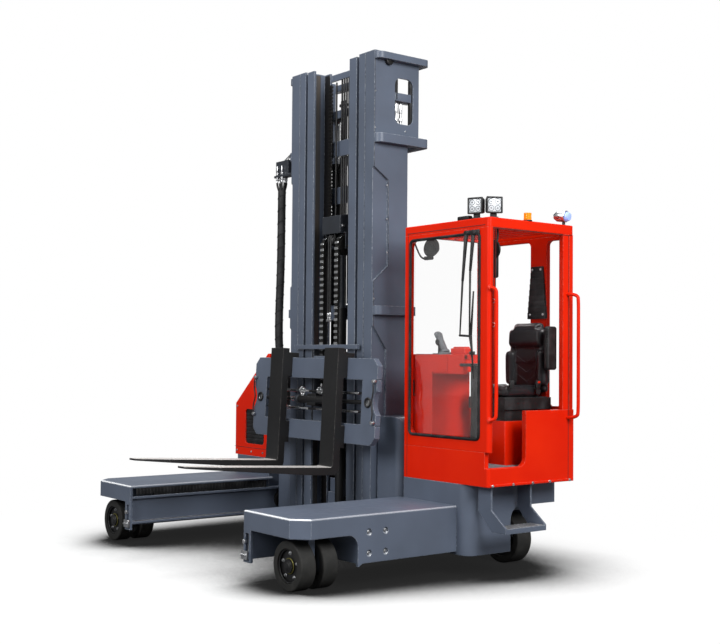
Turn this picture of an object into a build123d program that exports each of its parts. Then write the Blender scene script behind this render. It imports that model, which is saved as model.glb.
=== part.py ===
from build123d import *
import os
from math import cos, radians, sin, tan

# Multidirectional forklift: a U-shaped chassis with two load arms, an open cab on the left rear,
# a machine hood on the right rear, and a triple mast on a carriage that reaches along the arms.
# Millimetres. X forward along the forks, Y to the truck's left, Z up from the floor.
# Everything is laid out from the arms' front ends (X = 0) and the truck's centre plane (Y = 0);
# the export moves it so that the origin is the bottom centre of the whole truck's box.

# Load arms and their reach rails
ARM_LENGTH = 1442
ARM_IN = 912
ARM_OUT = 1604
ARM_BOTTOM = 180
DECK_TOP = 523
DECK_PLATE = 22
DECK_ROUND = 14
ARM_CHAMFER = 108
RAIL_DEPTH = 68
RAIL_HEIGHT = 231
RAIL_BOTTOM = 200
RAIL_PLATE = 20
LEG_PLATE = 22
LEG_WIDTH = 92
LEG_BOTTOM = 150
LEG_SLOT = (46, 170)
SIDE_BOLTS = (44, 10, (610, 760), (250, 398))
BAY_REAR = 511
BAY_TOP = 385
BAY_ROUND = 85
TONGUE = 42

# Rear frame
FRAME_REAR = 2372
FRAME_OUT = 1730
FRAME_OUT_RIGHT = ARM_OUT
FRAME_BOTTOM = 156
FRAME_TOP = 687
FRAME_ROUND = 100
ARCH_FRONT = 1885
ARCH_TOP = 500
ARCH_ROUND = 110
ARCH_IN = 1140
CROSS_FRONT = 2030
WALL = 12

# Wheels
LOAD_TYRE_D = 355
LOAD_TYRE_W = 127
LOAD_TWIN_GAP = 63
LOAD_STEER_X = 224
LOAD_STEER_Y = 1376
DRIVE_TYRE_D = 400
DRIVE_TYRE_W = 155
DRIVE_STEER_X = 2180
DRIVE_STEER_Y = 1397
AXLE_D = 50
WHEEL_CLEAR = 6

# Cab
CAB_FRONT = ARM_LENGTH
CAB_REAR = CAB_FRONT + 913
CAB_IN = 983
CAB_OUT = 1943
CAB_TOP = 2674
CAB_SHEET = 40
CAB_ROUND = 26
ROOF_DEPTH = 74
ROOF_BARS = 8
ROOF_BAR = (24, 49)
SILL_TOP = FRAME_TOP + 135
SIDE_PANEL_TOP = SILL_TOP + 418
SIDE_PANEL_FRONT = CAB_FRONT + 388
SIDE_PANEL_ROUND = 70
PANEL_SEAM = SILL_TOP + 118
PILLAR = (54, 70, 10)
WINDOW_FOOT = SILL_TOP + 209
WINDOW_MARGIN = (64, 100, 114)
WINDOW_CORNER = 62
REAR_PILLAR = (1517, 1692)
REAR_MARGIN = 90
GLASS = 6
HANDLE_D = 26
HANDLE_OFF = 42
HANDLE_BEND = 28
HANDLE_Z = (SILL_TOP + 361, CAB_TOP - 519)

# Seat and controls
SEAT_Y = (CAB_IN + CAB_OUT) / 2 + 107
SEAT_WIDTH = 460
SEAT_TOP = 1430
SEAT_DEPTH = 440
SEAT_FRONT = CAB_FRONT + 318
BACK_TOP = SEAT_TOP + 515
BACK_THICK = 95
CONSOLE_WIDTH = 397
CONSOLE_DEPTH = 398
CONSOLE_TOP = 1658

# Entry step, hung from the cab floor
STEP_X = (1520, 1930)
STEP_Y = (1757, 1895, 1900, 2045)
STEP_TREAD = (352, 395)
STEP_KNEE = (500, 512)
STEP_PLATE = 14

# Mast: three nested C channels a side, their front faces flush
MAST_FRONT = 1410
MAST_HALF = 608
MAST_TOP = 4184
MAST_BOTTOM = 270
MAST_DEPTH = 195
DOUBLER = 18
WEB = 18
FLANGE = 20
OUTER_FLANGE_IN = 483
MID_FLANGE_IN = 394
INNER_OUT = 360
INNER_FLANGE_IN = 260
STAGE_GAP = 5
SEAT_GAP = 0.3
MAST_ROLLER_D = MAST_DEPTH - 2 * FLANGE - 2 * SEAT_GAP
TIE_PLATE = 18
DOUBLER_DEPTHS = (360, 478)
RIB_REACH = 556
RIB_BACK = 78
RIB_OVER = 60
RIB_THICK = 74
RIB_DROPS = (17, 697, 2126)
RIB_TOP_THICK = 55
WINDOW_X = (-1824, -1628)
WINDOW_DROPS = (201, 589)
WINDOW_ROUND = 60

# The doubler's front seam: set back from the mast's front face, drop below the mast's top
SEAM = (
    (0, 0),
    (0, 972),
    (150, 1072),
    (155, 1790),
    (0, 1923),
    (0, 2290),
    (140, 2484),
)

# Ties across the stages: each one's low and high edge
TIES = {
    "inner": ((MAST_TOP - 84, MAST_TOP - 27), (MAST_TOP - 769, MAST_TOP - 632)),
    "mid": ((MAST_TOP - 419, MAST_TOP - 349), (MAST_BOTTOM + 150, MAST_BOTTOM + 290)),
    "outer": ((MAST_TOP - 1184, MAST_TOP - 1034), (MAST_BOTTOM + 830, MAST_BOTTOM + 1010)),
}

# Fork carriage, in its own frame: forward from the plates' front face, up along the shanks
CARRIAGE_X = -1199
CARRIAGE_Z = 800
CARRIAGE_TILT = 3.0
CARRIAGE_HALF = 895
PLATE = 50
UPPER_PLATE = (652, 825)
LOWER_PLATE = (130, 292)
END_PLATE_IN = 705
FORK_Y = 403
FORK_WIDTH = 190
FORK_THICK = 65
FORK_FRONT = 103
BLADE_TOP = -69
BLADE_THICK = 62
BLADE_TIP = 1435
SHANK_TOP = 905
PIVOT = (-90, 210)
PIN_D = 45
EYE_Y = 790
EYE_U = 470
EYE_D = 64
NOTCH = (130, 90)

# Lift carriage, free-lift cylinder, crosshead and leaf chains
LIFTER_FRONT = -1360
LIFTER_DEPTH = 230
LIFTER_TOP = 1700
LIFTER_IN = 160
LIFTER_PLATE = 25
LIFTER_BAR = (28, 38, 460)
FREE_X = -1540
FREE_BARREL_D = 90
FREE_ROD_D = 58
FREE_BARREL_TOP = 2060
ROD_IN_BARREL = 1360
CROSSHEAD_Z = FREE_BARREL_TOP + 640
SHEAVE_DROP = 110
SHEAVE_X = -1498
SHEAVE_Y = 105
SHEAVE_R = 80
SHEAVE_PIN_D = 40
CHAIN_WIDTH = 50
CHAIN_THICK = 20
CHAIN_PITCH = 51
CHAIN_LINK = 30
CHAIN_SLACK = 300
HOSE_D = 76
HOSE_TOP = MAST_TOP - 894

# Reach carriage
TOWER_OUT = 895
TOWER_TOP = 1150
TOWER_FRONT = 1470
TOWER_REAR = 1950
TOWER_ROUND = 60
REACH_ROLLER_D = 180
REACH_ROLLER_X = (1575, 1860)

# Hood
HOOD_IN = 1000
HOOD_SIDE = 1183
HOOD_TOP = 1660
HOOD_SLOPE_IN = 1046
HOOD_FRONT = 1450
HOOD_ROUND = 22
VENT_Y = (-1412, -1085)
VENT_Z = (800, 1128)
VENT_ROUND = 36

RAIL_BACK = ARM_IN + RAIL_DEPTH
TILT = radians(CARRIAGE_TILT)
X_FRONT = CARRIAGE_X + BLADE_TIP * cos(TILT) - BLADE_TOP * sin(TILT)
X_REAR = -FRAME_REAR
Y_LEFT = STEP_Y[3]
Y_RIGHT = -ARM_OUT
ORIGIN = ((X_FRONT + X_REAR) / 2, (Y_LEFT + Y_RIGHT) / 2)


def block(x0, x1, y0, y1, z0, z1):
    """A box between two corners."""
    return Pos((x0 + x1) / 2, (y0 + y1) / 2, (z0 + z1) / 2) * Box(abs(x1 - x0), abs(y1 - y0), abs(z1 - z0))


def rod_x(d, x0, x1, y, z):
    """A round bar along X."""
    return Pos((x0 + x1) / 2, y, z) * Rot(0, 90, 0) * Cylinder(d / 2, abs(x1 - x0))


def rod_y(d, x, y0, y1, z):
    """A round bar along Y."""
    return Pos(x, (y0 + y1) / 2, z) * Rot(90, 0, 0) * Cylinder(d / 2, abs(y1 - y0))


def rod_z(d, x, y, z0, z1):
    """A round bar along Z."""
    return Pos(x, y, (z0 + z1) / 2) * Cylinder(d / 2, abs(z1 - z0))


def side_profile(points, y0, y1):
    """A plate cut to an X-Z outline, from y0 to y1."""
    wire = Polyline([(x, y0, z) for x, z in points], close=True)
    return extrude(make_face(wire), abs(y1 - y0), dir=(0, 1 if y1 > y0 else -1, 0))


def front_profile(points, x0, x1):
    """A plate cut to a Y-Z outline, from x0 to x1."""
    wire = Polyline([(x0, y, z) for y, z in points], close=True)
    return extrude(make_face(wire), abs(x1 - x0), dir=(1 if x1 > x0 else -1, 0, 0))


def plan_profile(points, z0, z1):
    """A plate cut to an X-Y outline, from z0 to z1."""
    wire = Polyline([(x, y, z0) for x, y in points], close=True)
    return extrude(make_face(wire), z1 - z0, dir=(0, 0, 1))


def opposite(shape):
    """The same piece on the truck's other side."""
    return mirror(shape, about=Plane.XZ)


def both(shape):
    """A piece and its mirror image on one node."""
    return shape + opposite(shape)


def edges_at(shape, **limits):
    """Edges whose centre lies within the given ranges of x, y and z."""
    found = shape.edges()
    for name, axis in (("x", Axis.X), ("y", Axis.Y), ("z", Axis.Z)):
        if name in limits:
            low, high = limits[name]
            found = found.filter_by_position(axis, low, high)
    return found


def load_arm():
    """Left arm: deck box with a chamfered nose, an open wheel bay and a slotted end leg."""
    nose = [(-ARM_LENGTH, RAIL_BACK), (-ARM_LENGTH, ARM_OUT), (-ARM_CHAMFER, ARM_OUT),
            (0, ARM_OUT - ARM_CHAMFER), (0, RAIL_BACK)]
    arm = plan_profile(nose, ARM_BOTTOM, DECK_TOP)
    arm += block(-ARM_LENGTH, 0, ARM_IN, RAIL_BACK, DECK_TOP - DECK_PLATE, DECK_TOP)
    arm = fillet(edges_at(arm, z=(DECK_TOP - 1, DECK_TOP + 1), x=(-ARM_LENGTH + 5, 5)), DECK_ROUND)
    leg = block(-LEG_PLATE, 0, ARM_IN, ARM_IN + LEG_WIDTH, LEG_BOTTOM, DECK_TOP - DECK_PLATE)
    slot_y = ARM_IN + LEG_WIDTH / 2
    slot_z = LEG_BOTTOM + 40
    leg -= block(-LEG_PLATE, 0, slot_y - LEG_SLOT[0] / 2, slot_y + LEG_SLOT[0] / 2,
                 slot_z, slot_z + LEG_SLOT[1])
    bay = block(-BAY_REAR, 60, RAIL_BACK + LEG_PLATE, ARM_OUT + 60, 0, BAY_TOP)
    bay = fillet(edges_at(bay, x=(-BAY_REAR - 1, -BAY_REAR + 1), z=(BAY_TOP - 1, BAY_TOP + 1)), BAY_ROUND)
    tongue = side_profile([(-BAY_REAR, ARM_BOTTOM), (-BAY_REAR - TONGUE, ARM_BOTTOM),
                           (-BAY_REAR - 6, ARM_BOTTOM - TONGUE / 2), (-BAY_REAR, ARM_BOTTOM - TONGUE / 2)],
                          ARM_OUT - DECK_PLATE, ARM_OUT)
    arm = arm - bay + leg + tongue
    d, deep, places, levels = SIDE_BOLTS
    for x in places:
        for z in levels:
            arm -= rod_y(d, -x, ARM_OUT - deep, ARM_OUT + 1, z)
    return arm


def reach_rail():
    """Left C-shaped rail that the reach carriage's rollers run in."""
    top = RAIL_BOTTOM + RAIL_HEIGHT
    rail = block(-CROSS_FRONT, -LEG_PLATE, ARM_IN, RAIL_BACK, RAIL_BOTTOM, top)
    return rail - block(-CROSS_FRONT, -LEG_PLATE, ARM_IN, RAIL_BACK - RAIL_PLATE,
                        RAIL_BOTTOM + RAIL_PLATE, top - RAIL_PLATE)


def side_body(out):
    """Rear body beside the mast, with the drive wheel's arch open to the side and rear."""
    body = block(-FRAME_REAR, -ARM_LENGTH, RAIL_BACK, out, FRAME_BOTTOM, FRAME_TOP)
    corner = edges_at(body, x=(-ARM_LENGTH - 1, -ARM_LENGTH + 1), y=(out - 1, out + 1))
    body = fillet(corner, FRAME_ROUND)
    arch = block(-FRAME_REAR - 60, -ARCH_FRONT, ARCH_IN, out + 60, 0, ARCH_TOP)
    arch = fillet(edges_at(arch, x=(-ARCH_FRONT - 1, -ARCH_FRONT + 1), z=(ARCH_TOP - 1, ARCH_TOP + 1)),
                  ARCH_ROUND)
    return body - arch


def rear_frame():
    """Both rear bodies and the open-topped cross body that holds the battery between them."""
    cross = block(-FRAME_REAR, -CROSS_FRONT, -RAIL_BACK, RAIL_BACK, FRAME_BOTTOM, FRAME_TOP)
    tray = block(-FRAME_REAR + WALL, -CROSS_FRONT - WALL, -ARM_IN, ARM_IN, FRAME_BOTTOM + WALL, FRAME_TOP)
    return side_body(FRAME_OUT) + opposite(side_body(FRAME_OUT_RIGHT)) + (cross - tray)


def battery():
    """Battery block in the cross body, and its lid."""
    gap = 8
    pack = block(-FRAME_REAR + WALL + gap, -CROSS_FRONT - WALL - gap, -ARM_IN + gap, ARM_IN - gap,
                 FRAME_BOTTOM + WALL, FRAME_TOP - 20)
    lid = block(-FRAME_REAR, -CROSS_FRONT, -ARM_IN, ARM_IN, FRAME_TOP, FRAME_TOP + WALL)
    lid += block(-FRAME_REAR + 60, -CROSS_FRONT - 60, -ARM_IN + 80, ARM_IN - 80, FRAME_TOP + WALL,
                 FRAME_TOP + 3 * WALL)
    return pack, lid


def energy_chain():
    """Guide chain for the hoses, laid in the recess over the right rail."""
    pitch, count = 32, 36
    z0, z1 = RAIL_BOTTOM + RAIL_HEIGHT, DECK_TOP - DECK_PLATE - 8
    y0, y1 = ARM_IN + 8, RAIL_BACK - 8
    start = -ARM_LENGTH + 60
    chain = block(start, start + pitch * count, y0 + 6, y1, z0, z1 - 5)
    for i in range(count):
        x = start + pitch * i
        chain += block(x + 4, x + pitch - 8, y0, y0 + 6, z0, z1)
    return opposite(chain)


def hood():
    """Machine hood over the right rear body, with a sloped shoulder and a cut inner foot."""
    outline = [(-HOOD_IN - 60, FRAME_TOP), (-ARM_OUT, FRAME_TOP), (-ARM_OUT, HOOD_SIDE),
               (-HOOD_SLOPE_IN, HOOD_TOP), (-HOOD_IN, HOOD_TOP), (-HOOD_IN, FRAME_TOP + 60),
               (-HOOD_IN - 18, FRAME_TOP + 18)]
    shell = front_profile(outline, -HOOD_FRONT, -CAB_REAR)
    shell = fillet(edges_at(shell, x=(-HOOD_FRONT - 1, -HOOD_FRONT + 1), z=(FRAME_TOP + 70, HOOD_TOP + 1)),
                   HOOD_ROUND)
    return shell - vent_block(-HOOD_FRONT - 20, -HOOD_FRONT + 5, 0)


def vent_block(x0, x1, inset):
    """Rounded rectangle of the hood's vent, drawn in by an inset."""
    panel = block(x0, x1, VENT_Y[0] + inset, VENT_Y[1] - inset, VENT_Z[0] + inset, VENT_Z[1] - inset)
    return fillet(panel.edges().filter_by(Axis.X), VENT_ROUND - inset)


def hood_vent():
    """Louvred vent panel let into the hood's front."""
    panel = vent_block(-HOOD_FRONT - 20, -HOOD_FRONT - 12, 0)
    pitch = (VENT_Z[1] - VENT_Z[0] - 52) / 8
    for i in range(8):
        z = VENT_Z[0] + 30 + i * pitch
        panel += block(-HOOD_FRONT - 12, -HOOD_FRONT - 2, VENT_Y[0] + 14, VENT_Y[1] - 14, z, z + pitch / 2)
    return panel


def cab_tub():
    """Cab's lower half: floor, sill, seat-side panel and the low walls."""
    front, rear = -CAB_FRONT, -CAB_REAR
    low = block(rear, front, CAB_IN, CAB_OUT, FRAME_TOP, SIDE_PANEL_TOP)
    low = fillet(edges_at(low, x=(front - 1, front + 1), y=(CAB_OUT - 1, CAB_OUT + 1)), CAB_ROUND)
    low -= block(rear + CAB_SHEET, front - CAB_SHEET, CAB_IN + CAB_SHEET, CAB_OUT - CAB_SHEET,
                 FRAME_TOP + 20, SIDE_PANEL_TOP)
    edge = -SIDE_PANEL_FRONT
    entry = block(edge, front + 60, CAB_OUT - CAB_SHEET, CAB_OUT + 60, SILL_TOP, SIDE_PANEL_TOP + 60)
    entry = fillet(edges_at(entry, x=(edge - 1, edge + 1), z=(SILL_TOP - 1, SILL_TOP + 1)), SIDE_PANEL_ROUND)
    low -= entry
    return low - block(front - CAB_SHEET, front, CAB_IN, CAB_OUT, PANEL_SEAM, SIDE_PANEL_TOP)


def window_block(x0, x1):
    """Outline of the front window with its rounded corners, between two X planes."""
    inner, outer, top = WINDOW_MARGIN
    pane = block(x0, x1, CAB_IN + inner, CAB_OUT - outer, WINDOW_FOOT, CAB_TOP - top)
    return fillet(pane.edges().filter_by(Axis.X), WINDOW_CORNER)


def cab_front(z1):
    """Front sheet above the seam, with its rounded outer edge and the window cut out."""
    front = -CAB_FRONT
    sheet = block(front - CAB_SHEET, front, CAB_IN, CAB_OUT, PANEL_SEAM, z1)
    sheet = fillet(edges_at(sheet, x=(front - 1, front + 1), y=(CAB_OUT - 1, CAB_OUT + 1)), CAB_ROUND)
    return sheet - window_block(front - CAB_SHEET - 5, front + 5)


def cab_rear_wall():
    """Rear wall of the cab with its two open windows."""
    z0, z1 = SIDE_PANEL_TOP, CAB_TOP - ROOF_DEPTH
    rear = -CAB_REAR
    wall = block(rear, rear + CAB_SHEET, CAB_IN, CAB_OUT - PILLAR[2], z0, z1)
    for y0, y1 in ((CAB_IN + REAR_MARGIN, REAR_PILLAR[0]), (REAR_PILLAR[1], CAB_OUT - REAR_MARGIN)):
        hole = block(rear - 5, rear + CAB_SHEET + 5, y0, y1, z0 + 20, z1 - 30)
        wall -= fillet(hole.edges().filter_by(Axis.X), 40)
    return wall


def cab_frame():
    """Front sheet and the stepped rear pillars."""
    z0, z1 = SIDE_PANEL_TOP, CAB_TOP - ROOF_DEPTH
    rear = -CAB_REAR
    narrow, wide, step = PILLAR
    pillar = block(rear + CAB_SHEET, rear + narrow, CAB_OUT - CAB_SHEET, CAB_OUT - step, z0, z1)
    pillar += block(rear + narrow, rear + narrow + wide, CAB_OUT - CAB_SHEET, CAB_OUT, z0, z1)
    inner = block(rear + CAB_SHEET, rear + narrow + wide, CAB_IN, CAB_IN + CAB_SHEET, z0, z1)
    return Compound([cab_front(z1), pillar, inner])


def cab_roof():
    """Overhead guard: a deep edge frame, and the separate bars across it."""
    front, rear = -CAB_FRONT, -CAB_REAR
    z0 = CAB_TOP - ROOF_DEPTH
    rim = block(rear, front, CAB_IN, CAB_OUT, z0, CAB_TOP)
    rim = fillet(edges_at(rim, y=(CAB_OUT - 1, CAB_OUT + 1), z=(z0 + 10, CAB_TOP - 10)), CAB_ROUND)
    rim = fillet(edges_at(rim, z=(CAB_TOP - 1, CAB_TOP + 1)), 8)
    y0, y1 = CAB_IN + CAB_SHEET, CAB_OUT - CAB_SHEET
    rim -= block(rear + CAB_SHEET, front - CAB_SHEET, y0, y1, z0 - 5, CAB_TOP + 5)
    span = CAB_REAR - CAB_FRONT - 2 * CAB_SHEET
    thick, tall = ROOF_BAR
    bars = []
    for i in range(ROOF_BARS):
        x = front - CAB_SHEET - span * (i + 1) / (ROOF_BARS + 1)
        bars.append(block(x - thick / 2, x + thick / 2, y0, y1, CAB_TOP - 10 - tall, CAB_TOP - 10))
    return rim, Compound(bars)


def front_glass():
    """Pane in the front window."""
    x = -CAB_FRONT - CAB_SHEET / 2
    return window_block(x - GLASS / 2, x + GLASS / 2)


def grab_handles():
    """Tubular handles beside the entry, front and rear."""
    y = CAB_OUT + HANDLE_OFF
    handles = []
    for x, low, high in ((-CAB_FRONT - 34, 0, 0), (-CAB_REAR + 60, -18, -12)):
        z0, z1 = HANDLE_Z[0] + low, HANDLE_Z[1] + high
        path = FilletPolyline((x, CAB_OUT, z0), (x, y, z0), (x, y, z1), (x, CAB_OUT, z1), radius=HANDLE_BEND)
        handles.append(sweep(Plane(origin=path @ 0, z_dir=path % 0) * Circle(HANDLE_D / 2), path=path))
    return handles[0] + handles[1]


def seat_parts():
    """Seat base, cushion, backrest and the folded armrest."""
    front, rear = -SEAT_FRONT, -SEAT_FRONT - SEAT_DEPTH
    y0, y1 = SEAT_Y - SEAT_WIDTH / 2, SEAT_Y + SEAT_WIDTH / 2
    cushion = block(rear, front, y0, y1, SEAT_TOP - 100, SEAT_TOP)
    cushion = fillet(cushion.edges(), 25)
    floor = FRAME_TOP + 20
    base = block(rear + 40, front - 40, y0 + 50, y1 - 50, floor, SEAT_TOP - 190)
    base += block(rear - BACK_THICK + 10, front - 20, y0 + 30, y1 - 30, SEAT_TOP - 190, SEAT_TOP - 100)
    back = block(rear - SEAT_GAP - BACK_THICK, rear - SEAT_GAP, y0 + 10, y1 - 10, SEAT_TOP - 100, BACK_TOP)
    back = fillet(edges_at(back, z=(SEAT_TOP, BACK_TOP + 1)), 30)
    arm = block(rear - 60, rear + 50, y1 + 12, y1 + 62, SEAT_TOP + 115, SEAT_TOP + 455)
    arm = fillet(arm.edges(), 20)
    arm += rod_y(24, rear - 40, y1 - 10, y1 + 14, SEAT_TOP + 150)
    return base, cushion, back, arm


def console():
    """Control console at the front right of the cab, with its lever."""
    x1 = -CAB_FRONT - CAB_SHEET - 20
    x0 = x1 - CONSOLE_DEPTH
    y0 = CAB_IN + CAB_SHEET
    body = block(x0, x1, y0, y0 + CONSOLE_WIDTH - 170, FRAME_TOP + 20, CONSOLE_TOP - 135)
    body += block(x0, x1, y0, y0 + CONSOLE_WIDTH, CONSOLE_TOP - 135, CONSOLE_TOP)
    x, y = x1 - 60, y0 + 245
    lever = rod_z(26, x, y, CONSOLE_TOP, CONSOLE_TOP + 80)
    lever += Pos(x, y, CONSOLE_TOP + 100) * Sphere(34)
    return body, lever


def steering_wheel():
    """Small steering wheel on its column at the front left of the cab."""
    x, y, z = -CAB_FRONT - 158, SEAT_Y + 60, SEAT_TOP + 130
    column = rod_z(60, x, y, FRAME_TOP + 20, z)
    wheel = Pos(x, y, z + 20) * Torus(105, 12)
    wheel += rod_z(70, x, y, z, z + 32)
    for angle in (0, 120, 240):
        wheel += Pos(x, y, z + 18) * Rot(0, 0, angle) * Pos(52, 0, 0) * Box(104, 22, 10)
    return column, wheel


def cab_step():
    """Entry step: two cranked hangers under the cab floor and a tread tray between them."""
    near, knee, tray, out = STEP_Y
    low, high = STEP_TREAD
    outline = [(near, FRAME_TOP), (knee, FRAME_TOP), (knee, STEP_KNEE[1]), (out, high), (out, low),
               (tray, low), (near, STEP_KNEE[0])]
    x0, x1 = -STEP_X[1] - STEP_PLATE, -STEP_X[0]
    step = front_profile(outline, x0, x0 + STEP_PLATE) + front_profile(outline, x1 - STEP_PLATE, x1)
    lip = 8
    tread = block(x0, x1, tray, out, low, high - 6)
    tread -= block(x0 + STEP_PLATE, x1 - STEP_PLATE, tray + lip, out - lip, low, high - 6 - lip)
    return step + tread


def roof_lamps():
    """Housings of the two work lamps and the marker lamp on their posts, and the beacon."""
    edge = CAB_OUT - CAB_SHEET / 2
    housings = []
    for x, y, turn in ((-CAB_FRONT - CAB_SHEET / 2, CAB_OUT - 178, 20), (-CAB_FRONT - 138, edge, 60)):
        lamp = Pos(x, y, CAB_TOP + 110) * Rot(0, 0, turn) * Box(70, 128, 126)
        housings.append(lamp + rod_z(24, x, y, CAB_TOP, CAB_TOP + 50))
    x = -CAB_REAR + 85
    marker = Pos(x, edge, CAB_TOP + 75) * Rot(0, 0, 50) * Box(70, 110, 70)
    housings.append(marker + rod_z(20, x, edge, CAB_TOP, CAB_TOP + 45))
    beacon = rod_z(60, -CAB_REAR + 487, edge - 8, CAB_TOP, CAB_TOP + 62)
    return Compound(housings), beacon


def reach_carriage():
    """Frame that rides in the rails: two towers beside the mast and a belly beam under it."""
    tower = block(-TOWER_REAR, -TOWER_FRONT, MAST_HALF, TOWER_OUT, RAIL_BOTTOM + 20, TOWER_TOP)
    tower = fillet(edges_at(tower, y=(TOWER_OUT - 1, TOWER_OUT + 1), z=(TOWER_TOP - 500, TOWER_TOP + 1)),
                   TOWER_ROUND)
    belly = block(-TOWER_REAR, -MAST_FRONT - 20, -MAST_HALF, MAST_HALF, RAIL_BOTTOM + 20, MAST_BOTTOM)
    back = block(-TOWER_REAR, -TOWER_REAR + 40, -MAST_HALF, MAST_HALF, MAST_BOTTOM, TOWER_TOP - 150)
    return both(tower) + belly + back


def reach_rollers():
    """Rollers on stub axles, two a side."""
    z = RAIL_BOTTOM + RAIL_PLATE + REACH_ROLLER_D / 2 + SEAT_GAP
    rollers = []
    for x in REACH_ROLLER_X:
        roller = rod_y(REACH_ROLLER_D, -x, TOWER_OUT + 25, RAIL_BACK - RAIL_PLATE - 5, z)
        roller += rod_y(70, -x, TOWER_OUT, TOWER_OUT + 25, z)
        rollers += [roller, opposite(roller)]
    return Compound(rollers)


def channel(flange_in, web_out, low, high):
    """Left upright of a mast stage: a C channel, web outside and flanges towards the centre."""
    front, rear = -MAST_FRONT, -MAST_FRONT - MAST_DEPTH
    post = block(rear, front, web_out - WEB, web_out, low, high)
    post += block(front - FLANGE, front, flange_in, web_out, low, high)
    return post + block(rear, rear + FLANGE, flange_in, web_out, low, high)


def guide_rollers(y0, y1, levels):
    """Rollers on a stage's left side that run in the channel outside it."""
    x = -MAST_FRONT - MAST_DEPTH / 2
    return [rod_y(MAST_ROLLER_D, x, y0, y1, z) for z in levels]


def cross_tie(layer, half, low, high):
    """Plate behind the rear flanges; each stage's plates lie one layer further back."""
    front = -MAST_FRONT - MAST_DEPTH - layer * (TIE_PLATE + STAGE_GAP)
    return block(front - TIE_PLATE, front, -half, half, low, high)


def outer_mast():
    """Outer stage: a channel a side, and the windowed doubler plate welded outside it."""
    front = -MAST_FRONT
    shallow, deep = DOUBLER_DEPTHS
    rib_low = MAST_TOP - RIB_DROPS[1] - RIB_THICK
    outline = [(front - back, MAST_TOP - drop) for back, drop in SEAM]
    outline += [(front - SEAM[-1][0], MAST_BOTTOM), (front - shallow, MAST_BOTTOM)]
    outline += [(front - shallow, rib_low), (front - deep, rib_low), (front - deep, MAST_TOP)]
    y0, y1 = MAST_HALF - DOUBLER, MAST_HALF
    plate = side_profile(outline, y0, y1)
    high, low = [MAST_TOP - drop for drop in WINDOW_DROPS]
    slot = block(*WINDOW_X, y0 - 5, y1 + 5, low, high)
    plate -= fillet(slot.edges().filter_by(Axis.Y), WINDOW_ROUND)
    return both(plate + channel(OUTER_FLANGE_IN, y0, MAST_BOTTOM, MAST_TOP))


def mast_ribs():
    """Side bars of the three bands round the outer stage, and the back bars and ties between them."""
    front = -MAST_FRONT
    bars, backs = [], []
    for i, drop in enumerate(RIB_DROPS):
        top = MAST_TOP - drop
        low = top - (RIB_TOP_THICK if i == 0 else RIB_THICK)
        reach = RIB_REACH if i < 2 else DOUBLER_DEPTHS[0] + RIB_BACK
        bar = block(front - reach, front, MAST_HALF, MAST_HALF + RIB_OVER, low, top)
        corners = edges_at(bar, y=(MAST_HALF + RIB_OVER - 1, MAST_HALF + RIB_OVER + 1), z=(low + 5, top - 5))
        bar = fillet(corners, RIB_OVER - 6)
        bars += [bar, opposite(bar)]
        backs.append(block(front - reach, front - reach + RIB_BACK, -MAST_HALF, MAST_HALF, low, top))
    for low, high in TIES["outer"]:
        backs.append(cross_tie(2, MAST_HALF - DOUBLER, low, high))
    return Compound(bars), Compound(backs)


def mid_mast():
    """Middle stage: channels beside the outer ones, their rollers in them, and two ties."""
    low, high = MAST_BOTTOM + 10, MAST_TOP
    out = OUTER_FLANGE_IN - STAGE_GAP
    post = channel(MID_FLANGE_IN, out, low, high)
    run = MAST_HALF - DOUBLER - WEB - STAGE_GAP
    for roller in guide_rollers(out, run, (low + 120, low + 1000)):
        post += roller
    rear = -MAST_FRONT - MAST_DEPTH
    for z0, z1 in TIES["mid"]:
        post += block(rear - TIE_PLATE - STAGE_GAP, rear, MID_FLANGE_IN, out, z0, z1)
    posts = both(post)
    for z0, z1 in TIES["mid"]:
        posts += cross_tie(1, out, z0, z1)
    return posts


def inner_mast():
    """Inner stage: channels beside the middle ones, their rollers in them, and four ties."""
    low, high = MAST_BOTTOM + 10, MAST_TOP - 12
    post = channel(INNER_FLANGE_IN, INNER_OUT, low, high)
    run = OUTER_FLANGE_IN - 2 * STAGE_GAP - WEB
    for roller in guide_rollers(INNER_OUT, run, (low + 120, low + 1000)):
        post += roller
    posts = both(post)
    held = ((FREE_BARREL_TOP - 100, FREE_BARREL_TOP + 30), (MAST_BOTTOM + 50, MAST_BOTTOM + 170))
    for z0, z1 in TIES["inner"] + held:
        posts += cross_tie(0, INNER_OUT, z0, z1)
    return posts


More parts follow.
